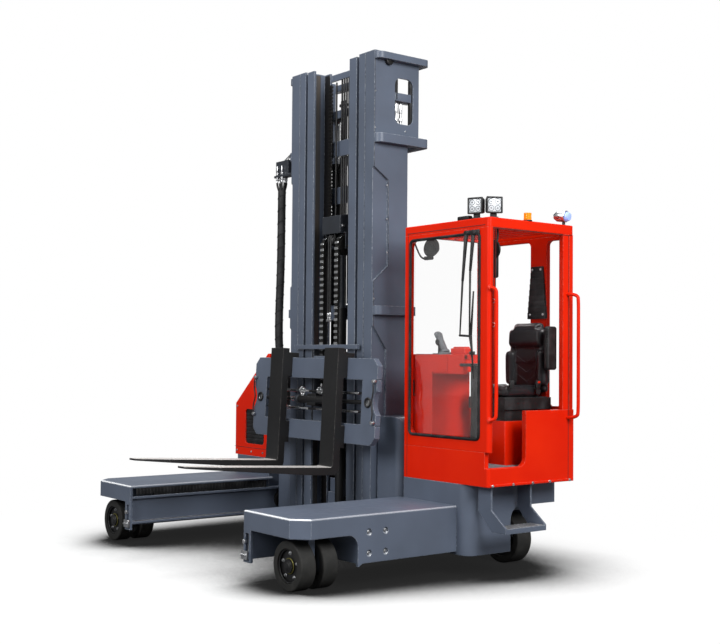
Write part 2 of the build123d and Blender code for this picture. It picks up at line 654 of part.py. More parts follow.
def free_lift():
    """Free-lift cylinder on the inner stage, and its rod with the crosshead and two chain sheaves."""
    barrel = rod_z(FREE_BARREL_D, FREE_X, 0, MAST_BOTTOM + 40, FREE_BARREL_TOP)
    barrel -= rod_z(FREE_ROD_D + 1.2, FREE_X, 0, MAST_BOTTOM + 80, FREE_BARREL_TOP)
    rear = -MAST_FRONT - MAST_DEPTH
    for z in (MAST_BOTTOM + 80, FREE_BARREL_TOP - 70):
        barrel += block(rear, FREE_X - FREE_ROD_D / 2 - 4, -60, 60, z, z + 70)
    top = CROSSHEAD_Z
    outline = [(rear + 9, top), (rear + 9, top + 20), (SHEAVE_X - 7, top + 165)]
    outline += [(-MAST_FRONT - 10, top + 152), (-MAST_FRONT - 10, top)]
    head = side_profile(outline, -SHEAVE_Y - 25, SHEAVE_Y + 25)
    head += rod_z(FREE_ROD_D, FREE_X, 0, FREE_BARREL_TOP - ROD_IN_BARREL, CROSSHEAD_Z)
    z = CROSSHEAD_Z - SHEAVE_DROP
    head += rod_y(SHEAVE_PIN_D, SHEAVE_X, -SHEAVE_Y - 40, SHEAVE_Y + 40, z)
    sheaves = []
    for y in (-SHEAVE_Y, SHEAVE_Y):
        cheek = y - 39 if y < 0 else y + 39
        head += block(SHEAVE_X - 30, SHEAVE_X + 30, cheek - 5, cheek + 5, z - 24, CROSSHEAD_Z)
        head += block(SHEAVE_X - 30, SHEAVE_X + 30, cheek - 14, cheek + 5, CROSSHEAD_Z - 1, CROSSHEAD_Z + 10)
        sheave = rod_y(2 * SHEAVE_R, SHEAVE_X, y - 30, y + 30, z)
        sheaves.append(sheave - rod_y(SHEAVE_PIN_D, SHEAVE_X, y - 40, y + 40, z))
    return barrel, head, Compound(sheaves)


def leaf_chain(y):
    """Leaf chain over its sheave: a narrow band of inner plates with wider outer plates at each pitch."""
    z = CROSSHEAD_Z - SHEAVE_DROP
    half, wide = CHAIN_WIDTH / 2 - 7, CHAIN_WIDTH / 2
    band = rod_y(2 * (SHEAVE_R + CHAIN_THICK - 3), SHEAVE_X, y - half, y + half, z)
    band -= rod_y(2 * SHEAVE_R, SHEAVE_X, y - wide, y + wide, z)
    band -= block(SHEAVE_X - 200, SHEAVE_X + 200, y - wide, y + wide, z - 200, z)
    ends = (LIFTER_TOP - CHAIN_SLACK, FREE_BARREL_TOP + 20)
    for x, low in zip((SHEAVE_X + SHEAVE_R, SHEAVE_X - SHEAVE_R - CHAIN_THICK), ends):
        lean = 3 if x > SHEAVE_X else 0
        band += block(x + 3 - lean, x + CHAIN_THICK - lean, y - half, y + half, low, z)
        for i in range(int((z - low) // CHAIN_PITCH)):
            middle = z - CHAIN_PITCH * (i + 0.5)
            link = Box(CHAIN_THICK, CHAIN_WIDTH, CHAIN_LINK)
            band += Pos(x + CHAIN_THICK / 2, y, middle) * link
    turn = 180 / 6
    for i in range(6):
        link = Pos(SHEAVE_R + CHAIN_THICK / 2, 0, 0) * Box(CHAIN_THICK, CHAIN_WIDTH, CHAIN_LINK)
        band += Pos(SHEAVE_X, y, z) * Rot(0, -turn * (i + 0.5), 0) * link
    return band


def lift_chains():
    """Two leaf chains: down from the sheaves' front to the lift carriage, and down behind them."""
    return Compound([leaf_chain(-SHEAVE_Y), leaf_chain(SHEAVE_Y)])


def pivot_point():
    """Tilt pin's X and Z in the truck's frame."""
    return (CARRIAGE_X + PIVOT[0] * cos(TILT) - PIVOT[1] * sin(TILT),
            CARRIAGE_Z + PIVOT[0] * sin(TILT) + PIVOT[1] * cos(TILT))


def lift_carriage():
    """Frame that the chains lift: side plates with rollers in the inner stage and the tilt pins."""
    px, pz = pivot_point()
    front, rear = LIFTER_FRONT, LIFTER_FRONT - LIFTER_DEPTH
    thick = LIFTER_BAR[0]
    outline = [(rear, pz - 45), (rear, LIFTER_TOP - 60), (front - thick, LIFTER_TOP), (front, LIFTER_TOP)]
    outline += [(front, pz + 75), (px + 33, pz + 20), (px + 33, pz - 33), (px - 40, pz - 33)]
    outline.append((front - 40, pz - 45))
    side = side_profile(outline, LIFTER_IN, LIFTER_IN + LIFTER_PLATE)
    x = -MAST_FRONT - MAST_DEPTH / 2
    y0, y1 = INNER_FLANGE_IN + STAGE_GAP, INNER_OUT - WEB - STAGE_GAP
    for z, roller in zip((pz + 55, LIFTER_TOP - 150), guide_rollers(y0, y1, (pz + 55, LIFTER_TOP - 150))):
        side += rod_y(60, x, LIFTER_IN + LIFTER_PLATE, y0, z) + roller
    side += rod_y(PIN_D, px, LIFTER_IN - 10, LIFTER_IN + LIFTER_PLATE + 50, pz)
    return both(side)


def lifter_bars():
    """Crossbars between the lift carriage's side plates, and the long bar over them."""
    _, pz = pivot_point()
    front = LIFTER_FRONT
    thick, tall, half = LIFTER_BAR
    bars = [block(front - thick, front, -LIFTER_IN, LIFTER_IN, low, high)
            for low, high in ((LIFTER_TOP - 200, LIFTER_TOP - 60), (pz + 75, pz + 195))]
    bars.append(block(front - thick, front, -half, half, LIFTER_TOP, LIFTER_TOP + tall))
    return Compound(bars)


def tilted(shape):
    """Place a piece of the fork carriage, drawn upright, at its parked lean."""
    return Pos(CARRIAGE_X, 0, CARRIAGE_Z) * Rot(0, -CARRIAGE_TILT, 0) * shape


def plate_outline(low, high, cut_low, cut_high, half):
    """Front outline of a carriage plate with cut corners."""
    foot = [(-half, low + cut_low), (-half + cut_low, low), (half - cut_low, low), (half, low + cut_low)]
    head = [(half, high - cut_high), (half - cut_high, high), (-half + cut_high, high), (-half, high - cut_high)]
    return foot + head


def fork_carriage():
    """Fork carriage: upper and lower plates, end plates with eyes, and the tilt lugs."""
    half = CARRIAGE_HALF
    frame = front_profile(plate_outline(*UPPER_PLATE, 12, 60, half), -PLATE, 0)
    frame += front_profile(plate_outline(*LOWER_PLATE, 60, 12, half), -PLATE, 0)
    end = block(-PLATE, 0, END_PLATE_IN, half, LOWER_PLATE[1], UPPER_PLATE[0])
    end -= rod_x(EYE_D, -PLATE, 0, EYE_Y, EYE_U) + rod_x(2 * NOTCH[0], -PLATE - 5, 5, half + NOTCH[1], EYE_U)
    lug = block(PIVOT[0] - 34, -PLATE, LIFTER_IN + LIFTER_PLATE + 6, LIFTER_IN + LIFTER_PLATE + 40,
                PIVOT[1] - 34, PIVOT[1] + 34)
    lug -= rod_y(PIN_D + 0.1, PIVOT[0], 0, 400, PIVOT[1])
    return tilted(frame + both(end) + both(lug))


def positioner():
    """Fork positioner: a cylinder block between the end plates with a rod each side, and guide bars."""
    x = -PLATE / 2
    unit = rod_y(70, x, -230, 230, EYE_U)
    unit += block(x - 45, x + 25, -60, 60, EYE_U - 50, EYE_U + 50)
    unit += rod_y(36, x, -END_PLATE_IN, END_PLATE_IN, EYE_U)
    for u in (EYE_U - 78, EYE_U + 72):
        unit += rod_y(20, x, -END_PLATE_IN, END_PLATE_IN, u)
    return tilted(unit)


def fork():
    """Left fork: forged L with a tapered blade, hung on the plates by its carrier blocks."""
    back = FORK_FRONT - FORK_THICK
    y0, y1 = FORK_Y - FORK_WIDTH / 2, FORK_Y + FORK_WIDTH / 2
    blade = side_profile([(back, SHANK_TOP), (back, BLADE_TOP - BLADE_THICK),
                          (back + 260, BLADE_TOP - BLADE_THICK), (BLADE_TIP, BLADE_TOP - 14),
                          (BLADE_TIP, BLADE_TOP), (FORK_FRONT, BLADE_TOP), (FORK_FRONT, SHANK_TOP)], y0, y1)
    under = BLADE_TOP - BLADE_THICK
    heel = edges_at(blade, x=(back - 1, back + 1), z=(under - 1, under + 1))
    blade = fillet(heel, 48)
    crook = edges_at(blade, x=(FORK_FRONT - 1, FORK_FRONT + 1), z=(BLADE_TOP - 1, BLADE_TOP + 1))
    blade = fillet(crook, 26)
    for side in (-1, 1):
        edge = FORK_Y + side * FORK_WIDTH / 2
        blade -= plan_profile([(BLADE_TIP - 300, edge), (BLADE_TIP + 1, edge - side * 45),
                               (BLADE_TIP + 1, edge)], BLADE_TOP - 100, BLADE_TOP + 10)
    blade += block(0.3, back, y0, y1, UPPER_PLATE[0] + 10, UPPER_PLATE[1] + 45)
    blade += block(-PLATE - 14, 0.3, y0, y1, UPPER_PLATE[1] + 6, UPPER_PLATE[1] + 45)
    blade += block(0.3, back, y0, y1, LOWER_PLATE[0] - 40, LOWER_PLATE[1] - 20)
    return tilted(blade)


def load_wheel(x, y):
    """Twin load wheel turned for side travel: tyres, hubs, and the steered leg between them."""
    z = LOAD_TYRE_D / 2
    rim = LOAD_TYRE_D - 110
    tyres, hubs = [], []
    for side in (-1, 1):
        inner = x + side * LOAD_TWIN_GAP / 2
        outer = inner + side * LOAD_TYRE_W
        tyre = rod_x(LOAD_TYRE_D, inner, outer, y, z)
        tyres.append(fillet(tyre.edges(), 12) - rod_x(rim, inner, outer, y, z))
        hub = rod_x(rim, inner + side * 4, outer - side * 28, y, z)
        hub += rod_x(96, outer - side * 28, outer - side * 6, y, z)
        hubs.append(hub - rod_x(AXLE_D + 0.1, inner, outer, y, z))
    half = LOAD_TWIN_GAP / 2 - WHEEL_CLEAR
    axle = LOAD_TWIN_GAP / 2 + LOAD_TYRE_W - 10
    leg = block(x - half, x + half, y - 72, y + 72, z, BAY_TOP - 24)
    leg += rod_x(144, x - half, x + half, y, z) + rod_x(AXLE_D, x - axle, x + axle, y, z)
    leg += rod_z(230, x, y, BAY_TOP - 24, BAY_TOP)
    return Compound(tyres), Compound(hubs), leg


def drive_wheel(x, y):
    """Drive wheel turned for side travel: tyre, hub, and the steered gear leg behind it."""
    r = DRIVE_TYRE_D / 2
    z = r
    x0, x1 = x - DRIVE_TYRE_W / 2, x + DRIVE_TYRE_W / 2
    tyre = fillet(rod_x(DRIVE_TYRE_D, x0, x1, y, z).edges(), 14) - rod_x(DRIVE_TYRE_D - 110, x0, x1, y, z)
    hub = rod_x(DRIVE_TYRE_D - 110, x0 + 30, x1 - 36, y, z) + rod_x(120, x1 - 36, x1 - 8, y, z)
    hub -= rod_x(AXLE_D + 0.1, x0, x1 - 30, y, z)
    leg = rod_x(200, x0 - 70, x0 - WHEEL_CLEAR, y, z)
    leg += block(x0 - 70, x0 - WHEEL_CLEAR, y - 85, y + 85, z, ARCH_TOP - 30)
    leg += rod_x(AXLE_D, x0 - WHEEL_CLEAR, x1 - 32, y, z) + rod_z(260, x, y, ARCH_TOP - 70, ARCH_TOP)
    return tyre, hub, leg


def hose_run():
    """Wrapped hose bundle from the mast's bracket down to the right tower."""
    points = [(-1450, -820, HOSE_TOP), (-1450, -820, HOSE_TOP - 360), (-1454, -832, HOSE_TOP - 860),
              (-1446, -850, HOSE_TOP - 1410), (-1470, -852, HOSE_TOP - 1720), (-1560, -800, TOWER_TOP + 190),
              (-1560, -800, TOWER_TOP)]
    turns = [Vector(*end) - Vector(*start) for start, end in zip(points, points[1:])]
    radii = []
    for before, after in zip(turns, turns[1:]):
        bend = radians(before.get_angle(after))
        radii.append(0.45 * min(before.length, after.length) / tan(bend / 2))
    print("hose bend radii", [round(r) for r in radii])
    path = FilletPolyline(*points, radius=radii)
    return sweep(Plane(origin=path @ 0, z_dir=path % 0) * Circle(HOSE_D / 2), path=path)


def hose_bracket():
    """Bracket outside the right upright that the hose bundle hangs from."""
    z = HOSE_TOP
    shelf = block(-1500, -1420, -910, -MAST_HALF, z, z + 20)
    foot = block(-1500, -1420, -MAST_HALF - 12, -MAST_HALF, z - 90, z + 110)
    return shelf + foot + block(-1486, -1434, -900, -700, z + 20, z + 150)


NODES = {
    "arm_left": load_arm(),
    "arm_right": opposite(load_arm()),
    "reach_rails": both(reach_rail()),
    "rear_frame": rear_frame(),
    "energy_chain": energy_chain(),
    "hood": hood(),
    "hood_vent": hood_vent(),
    "cab_tub": cab_tub(),
    "cab_frame": cab_frame(),
    "cab_rear_wall": cab_rear_wall(),
    "front_glass": front_glass(),
    "grab_handles": grab_handles(),
    "cab_step": cab_step(),
    "reach_carriage": reach_carriage(),
    "reach_rollers": reach_rollers(),
    "outer_mast": outer_mast(),
    "hose_bracket": hose_bracket(),
    "hose_bundle": hose_run(),
    "mid_mast": mid_mast(),
    "inner_mast": inner_mast(),
    "lift_chains": lift_chains(),
    "lift_carriage": lift_carriage(),
    "lifter_bars": lifter_bars(),
    "fork_carriage": fork_carriage(),
    "fork_positioner": positioner(),
    "fork_left": fork(),
    "fork_right": opposite(fork()),
}

# Functions that make several nodes at once
GROUPS = (
    (("battery", "battery_lid"), battery()),
    (("cab_roof", "roof_bars"), cab_roof()),
    (("seat_base", "seat_cushion", "seat_back", "armrest"), seat_parts()),
    (("console", "control_lever"), console()),
    (("steering_column", "steering_wheel"), steering_wheel()),
    (("roof_lamps", "beacon"), roof_lamps()),
    (("mast_ribs", "mast_ties"), mast_ribs()),
    (("free_lift_cylinder", "crosshead", "chain_sheaves"), free_lift()),
)

# Wheels: name, maker, steering axis X and Y
WHEELS = (
    ("front_left", load_wheel, -LOAD_STEER_X, LOAD_STEER_Y),
    ("front_right", load_wheel, -LOAD_STEER_X, -LOAD_STEER_Y),
    ("rear_left", drive_wheel, -DRIVE_STEER_X, DRIVE_STEER_Y),
    ("rear_right", drive_wheel, -DRIVE_STEER_X, -DRIVE_STEER_Y),
)

for names, shapes in GROUPS:
    NODES.update(zip(names, shapes))
for place, make, x, y in WHEELS:
    NODES.update(zip((f"{place}_tyre", f"{place}_hub", f"{place}_leg"), make(x, y)))

os.makedirs("parts", exist_ok=True)
for name, shape in NODES.items():
    export_step(shape.moved(Location((-ORIGIN[0], -ORIGIN[1], 0))), f"parts/{name}.step")
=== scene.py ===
import logging
from dataclasses import dataclass
from enum import Enum
from math import cos, pi, radians, sin
from typing import Iterable, Sequence

import bmesh
import bpy
from bmesh.types import BMesh
from mathutils import Matrix, Vector
from mathutils.bvhtree import BVHTree


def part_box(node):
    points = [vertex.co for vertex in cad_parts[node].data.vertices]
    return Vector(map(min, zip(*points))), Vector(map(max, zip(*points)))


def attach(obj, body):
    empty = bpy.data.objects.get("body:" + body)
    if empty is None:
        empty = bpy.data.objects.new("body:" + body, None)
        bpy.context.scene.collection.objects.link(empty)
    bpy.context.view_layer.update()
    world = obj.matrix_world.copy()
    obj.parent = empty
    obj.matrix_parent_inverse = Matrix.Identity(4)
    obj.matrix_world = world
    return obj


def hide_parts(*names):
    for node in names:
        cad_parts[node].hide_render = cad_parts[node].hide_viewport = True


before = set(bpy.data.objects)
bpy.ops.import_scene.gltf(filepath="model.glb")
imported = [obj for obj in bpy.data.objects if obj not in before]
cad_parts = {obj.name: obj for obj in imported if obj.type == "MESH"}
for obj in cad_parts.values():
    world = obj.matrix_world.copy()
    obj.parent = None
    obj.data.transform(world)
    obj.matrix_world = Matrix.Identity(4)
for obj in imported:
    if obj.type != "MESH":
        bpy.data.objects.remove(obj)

LOG = logging.getLogger("forklift")
MM = 0.001
UP = Vector((0, 0, 1))
SIDES = (-1, 1)
SHARP_DEG = 32
Point = tuple[float, float, float]
Socket = bpy.types.NodeSocket


def place(x: float, y: float, z: float) -> Vector:
    """Turn millimetres from the arms' front ends, the truck's centre plane and the floor into frame metres."""
    left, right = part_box("arm_left"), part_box("arm_right")
    return Vector((left[1].x + x * MM, (left[0].y + right[1].y) / 2 + y * MM, z * MM))


def linear(code: str) -> tuple[float, float, float, float]:
    """Turn an sRGB hex colour into the linear colour that shaders take."""
    channels = [int(code[i:i + 2], 16) / 255 for i in (1, 3, 5)]
    return (*[c / 12.92 if c <= 0.04045 else ((c + 0.055) / 1.055) ** 2.4 for c in channels], 1.0)


def smooth_line(name: str, points: Sequence[Point], diameter: float, closed: bool = False) -> bpy.types.Curve:
    """Draw a NURBS line in truck millimetres with a round section.

    Args:
        name: The curve's name.
        points: Its control points.
        diameter: Diameter of its section, or 0 for none.
        closed: Whether it closes on itself.

    Returns:
        The curve.
    """
    curve = bpy.data.curves.new(name, "CURVE")
    curve.dimensions, curve.bevel_depth, curve.use_fill_caps = "3D", diameter * MM / 2, True
    curve.bevel_resolution, curve.resolution_u = 4, 10
    spline = curve.splines.new("NURBS")
    spline.points.add(len(points) - 1)
    for point, where in zip(spline.points, points):
        point.co = (*place(*where), 1.0)
    spline.use_cyclic_u, spline.use_endpoint_u, spline.order_u = closed, not closed, 3
    return curve


def bent(points: Sequence[Point], diameter: float, closed: bool = False) -> bpy.types.Mesh:
    """Turn a smooth line into a mesh.

    Args:
        points: The line's control points in truck millimetres.
        diameter: Diameter of its section, or 0 for none.
        closed: Whether it closes on itself.

    Returns:
        The mesh.
    """
    line = bpy.data.objects.new("line", smooth_line("line", points, diameter, closed))
    mesh = bpy.data.meshes.new_from_object(line)
    bpy.data.objects.remove(line)
    return mesh


def stand(name: str, data: bpy.types.ID) -> bpy.types.Object:
    """Make an object in the scene.

    Args:
        name: Its name.
        data: Its mesh, curve, lamp or camera.

    Returns:
        The object.
    """
    thing = bpy.data.objects.new(name, data)
    bpy.context.scene.collection.objects.link(thing)
    return thing


class Nodes:
    """A node tree, with short ways to add the nodes that the finishes share."""

    def __init__(self, tree: bpy.types.NodeTree) -> None:
        """Work on a tree, which holds a Principled shader where it is a material's."""
        self.tree = tree
        self.shader = tree.nodes.get("Principled BSDF")

    def add(self, kind: str, sockets: dict | None = None, **settings: object) -> bpy.types.Node:
        """Add one shader node with its settings, socket values and links.

        Args:
            kind: The node's type name, without the ShaderNode that all of them start with.
            sockets: Input names or numbers, each with its value, hex colour or feeding output.
            settings: Properties of the node itself.

        Returns:
            The new node.
        """
        node = self.tree.nodes.new("ShaderNode" + kind)
        for name, value in settings.items():
            setattr(node, name, value)
        self.feed(node, sockets or {})
        return node

    def feed(self, node: bpy.types.Node, sockets: dict) -> None:
        """Set or link some inputs of a node.

        Args:
            node: The node.
            sockets: Input names or numbers, each with its value, hex colour or feeding output.
        """
        for name, value in sockets.items():
            if isinstance(value, Socket):
                self.tree.links.new(value, node.inputs[name])
            else:
                node.inputs[name].default_value = linear(value) if isinstance(value, str) else value

    def ramp(self, value: Socket, low: float, high: float, first: float = 0.0, last: float = 1.0) -> Socket:
        """Stretch a value so that low becomes first and high becomes last, and clamp it."""
        ends = {"From Min": low, "From Max": high, "To Min": first, "To Max": last}
        return self.add("MapRange", {"Value": value, **ends}).outputs["Result"]

    def math(self, first: Socket, second: Socket | float, operation: str = "MULTIPLY") -> Socket:
        """Join two values."""
        return self.add("Math", {0: first, 1: second}, operation=operation).outputs[0]

    def blend(self, share: Socket, first: Socket | str, second: Socket | str) -> Socket:
        """Mix two colours by the share of the second."""
        return self.add("Mix", {0: share, 6: first, 7: second}, data_type="RGBA", blend_type="MIX").outputs[2]

    def where(self, stretch: Point = (1, 1, 1)) -> Socket:
        """Give the piece's own coordinates, with lengths scaled along each axis."""
        spot = self.add("TexCoord").outputs["Object"]
        return self.add("Mapping", {"Vector": spot, "Scale": stretch}).outputs["Vector"]

    def noise(self, size_mm: float, detail: float = 2.0, stretch: Point = (1, 1, 1)) -> Socket:
        """Add a noise whose blotches are about size_mm on the piece."""
        sockets = {"Vector": self.where(stretch), "Scale": 1 / (size_mm * MM), "Detail": detail}
        return self.add("TexNoise", sockets).outputs["Fac"]

    def rounded(self, radius_mm: float) -> Socket:
        """Give the normal that edges rounded to a radius would have."""
        return self.add("Bevel", {"Radius": radius_mm * MM}, samples=4).outputs["Normal"]

    def relief(self, height: Socket, depth_mm: float, edge_mm: float = 0.0) -> None:
        """Feed a bump, over softened edges where asked, to the shader's normal.

        Args:
            height: The bump's height from 0 to 1.
            depth_mm: Depth of the relief.
            edge_mm: Radius that edges look rounded to, or 0 for none.
        """
        sockets = {"Height": height, "Distance": depth_mm * MM}
        if edge_mm:
            sockets["Normal"] = self.rounded(edge_mm)
        self.feed(self.shader, {"Normal": self.add("Bump", sockets).outputs["Normal"]})

    def edge_mask(self, width_mm: float) -> Socket:
        """Find the strip along sharp edges, broken up as wear is.

        Args:
            width_mm: Width of the strip.

        Returns:
            A value that is 1 on an edge strip and 0 away from it: wear, and in the enamels also a painted highlight.
        """
        flat = self.add("NewGeometry").outputs["Normal"]
        facing = self.add("VectorMath", {0: self.rounded(width_mm), 1: flat}, operation="DOT_PRODUCT")
        return self.math(self.ramp(facing.outputs["Value"], 0.995, 0.93), self.ramp(self.noise(18, 4), 0.38, 0.62))

    def overlay(self, share: Socket, colour: str) -> None:
        """Lay a colour over the shader's own, where the share is above 0."""
        under = self.shader.inputs["Base Color"].links[0].from_socket
        self.feed(self.shader, {"Base Color": self.blend(share, under, colour)})

    def seen(self) -> Socket:
        """Tell rays that the camera sends, also through glass, from those that light the truck."""
        path = self.add("LightPath").outputs
        return self.math(path["Is Camera Ray"], path["Is Transmission Ray"], "MAXIMUM")


@dataclass(frozen=True)
class Finish:
    """A surface finish: what the real material is, its material slot, tones and typical shader values."""

    name: str
    slot: str
    colour: str
    roughness: float = 0.5
    metallic: float = 0.0
    gleam: float = 0.5

    def material(self) -> bpy.types.Material:
        """Build the material: its constant values, then its pattern.

        Returns:
            The finished material.
        """
        material = bpy.data.materials.new(self.name)
        material.use_nodes = True
        nodes = Nodes(material.node_tree)
        nodes.feed(nodes.shader, {"Base Color": self.colour, "Roughness": self.roughness,
                                  "Metallic": self.metallic, "Specular IOR Level": self.gleam})
        self.pattern(nodes)
        return material

    def pattern(self, nodes: Nodes) -> None:
        """Leave the material plain."""


@dataclass(frozen=True)
class Enamel(Finish):
    """Two-pack enamel sprayed over welded plate: slow tone drift, fine orange peel, paler edges that are partly
    rubbed wear and partly a painted highlight.
    """

    drift: str = "#000000"
    edge_wear_and_highlight: str = "#b9bfc6"
    edge_wear_and_highlight_share: float = 0.5

    def pattern(self, nodes: Nodes) -> None:
        """Draw the coat.

        Args:
            nodes: The material's nodes.
        """
        # The coat's thickness drifts over a hand's width to half a metre as the gun passes.
        tone = nodes.blend(nodes.ramp(nodes.noise(420, 3), 0.3, 0.7), self.colour, self.drift)
        # Edges are rubbed by straps and gloves, which shows the primer and steel as a pale line; the same pale line
        # is also a painted highlight where rounded edges catch the light.
        tone = nodes.blend(nodes.math(nodes.edge_mask(5), self.edge_wear_and_highlight_share), tone, self.edge_wear_and_highlight)
        # Dust and handling make the gloss uneven in blotches of about 60 mm.
        gloss = nodes.ramp(nodes.noise(60, 4), 0, 1, self.roughness - 0.07, self.roughness + 0.1)
        nodes.feed(nodes.shader, {"Base Color": tone, "Roughness": gloss})
        # Orange peel is 2 to 3 mm across, drawn at 7 mm so that it shows at this distance.
        nodes.relief(nodes.noise(7, 1), 0.25, 9)


@dataclass(frozen=True)
class DeckEnamel(Enamel):
    """Grey enamel with a painted highlight on its rounded upper edges."""

    painted_highlight: str = "#f4f6f8"

    def pattern(self, nodes: Nodes) -> None:
        """Draw the coat and the painted highlight on its upper edges.

        Args:
            nodes: The material's nodes.
        """
        super().pattern(nodes)
        # The highlight is painted where an edge's rounding leans between the side and the top, as if it catches light
        # from above.
        ahead, _, up = nodes.add("SeparateXYZ", {0: nodes.rounded(16)}).outputs
        wear_and_highlight = nodes.math(nodes.ramp(up, 0.3, 0.45), nodes.ramp(up, 0.97, 0.88))
        # The painted highlight is full on the front edges and paler on the long sides.
        nodes.overlay(nodes.math(wear_and_highlight, nodes.ramp(ahead, 0.1, 0.35, 0.3)), self.painted_highlight)


@dataclass(frozen=True)
class ForkEnamel(Enamel):
    """Satin black enamel on forged steel, worn to bright steel where loads slide on upward faces."""

    bare: str = "#cfcbc8"

    def pattern(self, nodes: Nodes) -> None:
        """Draw the coat and its worn tops.

        Args:
            nodes: The material's nodes.
        """
        super().pattern(nodes)
        up = nodes.add("SeparateXYZ", {0: nodes.add("NewGeometry").outputs["Normal"]}).outputs["Z"]
        # Pallets scrape the blades' tops bright in streaks along them, about 12 mm wide.
        streak = nodes.noise(12, 3, (0.08, 1, 1))
        wear_and_highlight = nodes.math(nodes.ramp(up, 0.8, 0.95), nodes.ramp(streak, 0.2, 0.36))
        nodes.overlay(wear_and_highlight, self.bare)
        nodes.feed(nodes.shader, {"Metallic": nodes.math(wear_and_highlight, 0.6)})


@dataclass(frozen=True)
class PlatedSteel(Finish):
    """Machined or plated steel: metal reflections with faint tool lines and oil blotches."""

    grain_mm: float = 1.5
    stretch: Point = (1.0, 1.0, 1.0)

    def pattern(self, nodes: Nodes) -> None:
        """Draw the oil stains and the tool lines.

        Args:
            nodes: The material's nodes.
        """
        lines = nodes.noise(self.grain_mm, 2, self.stretch)
        dull = [0.7 * c for c in linear(self.colour)[:3]] + [1.0]
        tone = nodes.blend(nodes.ramp(nodes.noise(35, 3), 0.35, 0.75), self.colour, dull)
        gloss = nodes.ramp(lines, 0, 1, self.roughness - 0.08, self.roughness + 0.12)
        nodes.feed(nodes.shader, {"Base Color": tone, "Roughness": gloss})
        nodes.relief(lines, 0.05, 1.5)


@dataclass(frozen=True)
class Moulded(Finish):
    """Moulded polymer: a fine spark-eroded grain and slightly scuffed high spots."""

    grain_mm: float = 2.0
    grain_depth_mm: float = 0.2
    scuffed: str = "#4a4a4c"

    def pattern(self, nodes: Nodes) -> None:
        """Draw the scuffs and the grain.

        Args:
            nodes: The material's nodes.
        """
        scuff = nodes.math(nodes.ramp(nodes.noise(90, 4), 0.45, 0.8), 0.45)
        edge = nodes.math(nodes.edge_mask(3), scuff, "MAXIMUM")
        nodes.feed(nodes.shader, {"Base Color": nodes.blend(edge, self.colour, self.scuffed)})
        cells = nodes.add("TexVoronoi", {"Vector": nodes.where(), "Scale": 1 / (self.grain_mm * MM)})
        nodes.relief(cells.outputs["Distance"], self.grain_depth_mm, 2)


@dataclass(frozen=True)
class Clear(Finish):
    """Clear sheet or lens: glass or polycarbonate that passes light, faintly uneven."""

    ior: float = 1.5
    passes: float = 1.0
    glow: float = 0.0

    def pattern(self, nodes: Nodes) -> None:
        """Set how light passes, and make the sheet faintly uneven.

        Args:
            nodes: The material's nodes.
        """
        nodes.feed(nodes.shader, {"IOR": self.ior, "Transmission Weight": self.passes,
                                  "Emission Color": self.colour, "Emission Strength": self.glow})
        nodes.relief(nodes.noise(40, 1), 0.05)


@dataclass(frozen=True)
class Worn(Finish):
    """Steel where rollers and pads have rubbed the paint off: brown bare metal in long streaks."""

    bare: str = "#6d5a4c"

    def pattern(self, nodes: Nodes) -> None:
        """Draw the streaks along the upright, about 9 mm wide and a metre long.

        Args:
            nodes: The material's nodes.
        """
        streak = nodes.ramp(nodes.noise(9, 3, (1, 1, 0.02)), 0.3, 0.7)
        nodes.feed(nodes.shader, {"Base Color": nodes.blend(streak, self.colour, self.bare)})
        nodes.relief(streak, 0.1)


# The grey coat's pale edge colour and its share are partly edge wear and partly a painted highlight.
GREY_COAT = {"roughness": 0.4, "gleam": 0.4, "drift": "#596272", "edge_wear_and_highlight": "#dce1e6", "edge_wear_and_highlight_share": 0.7}


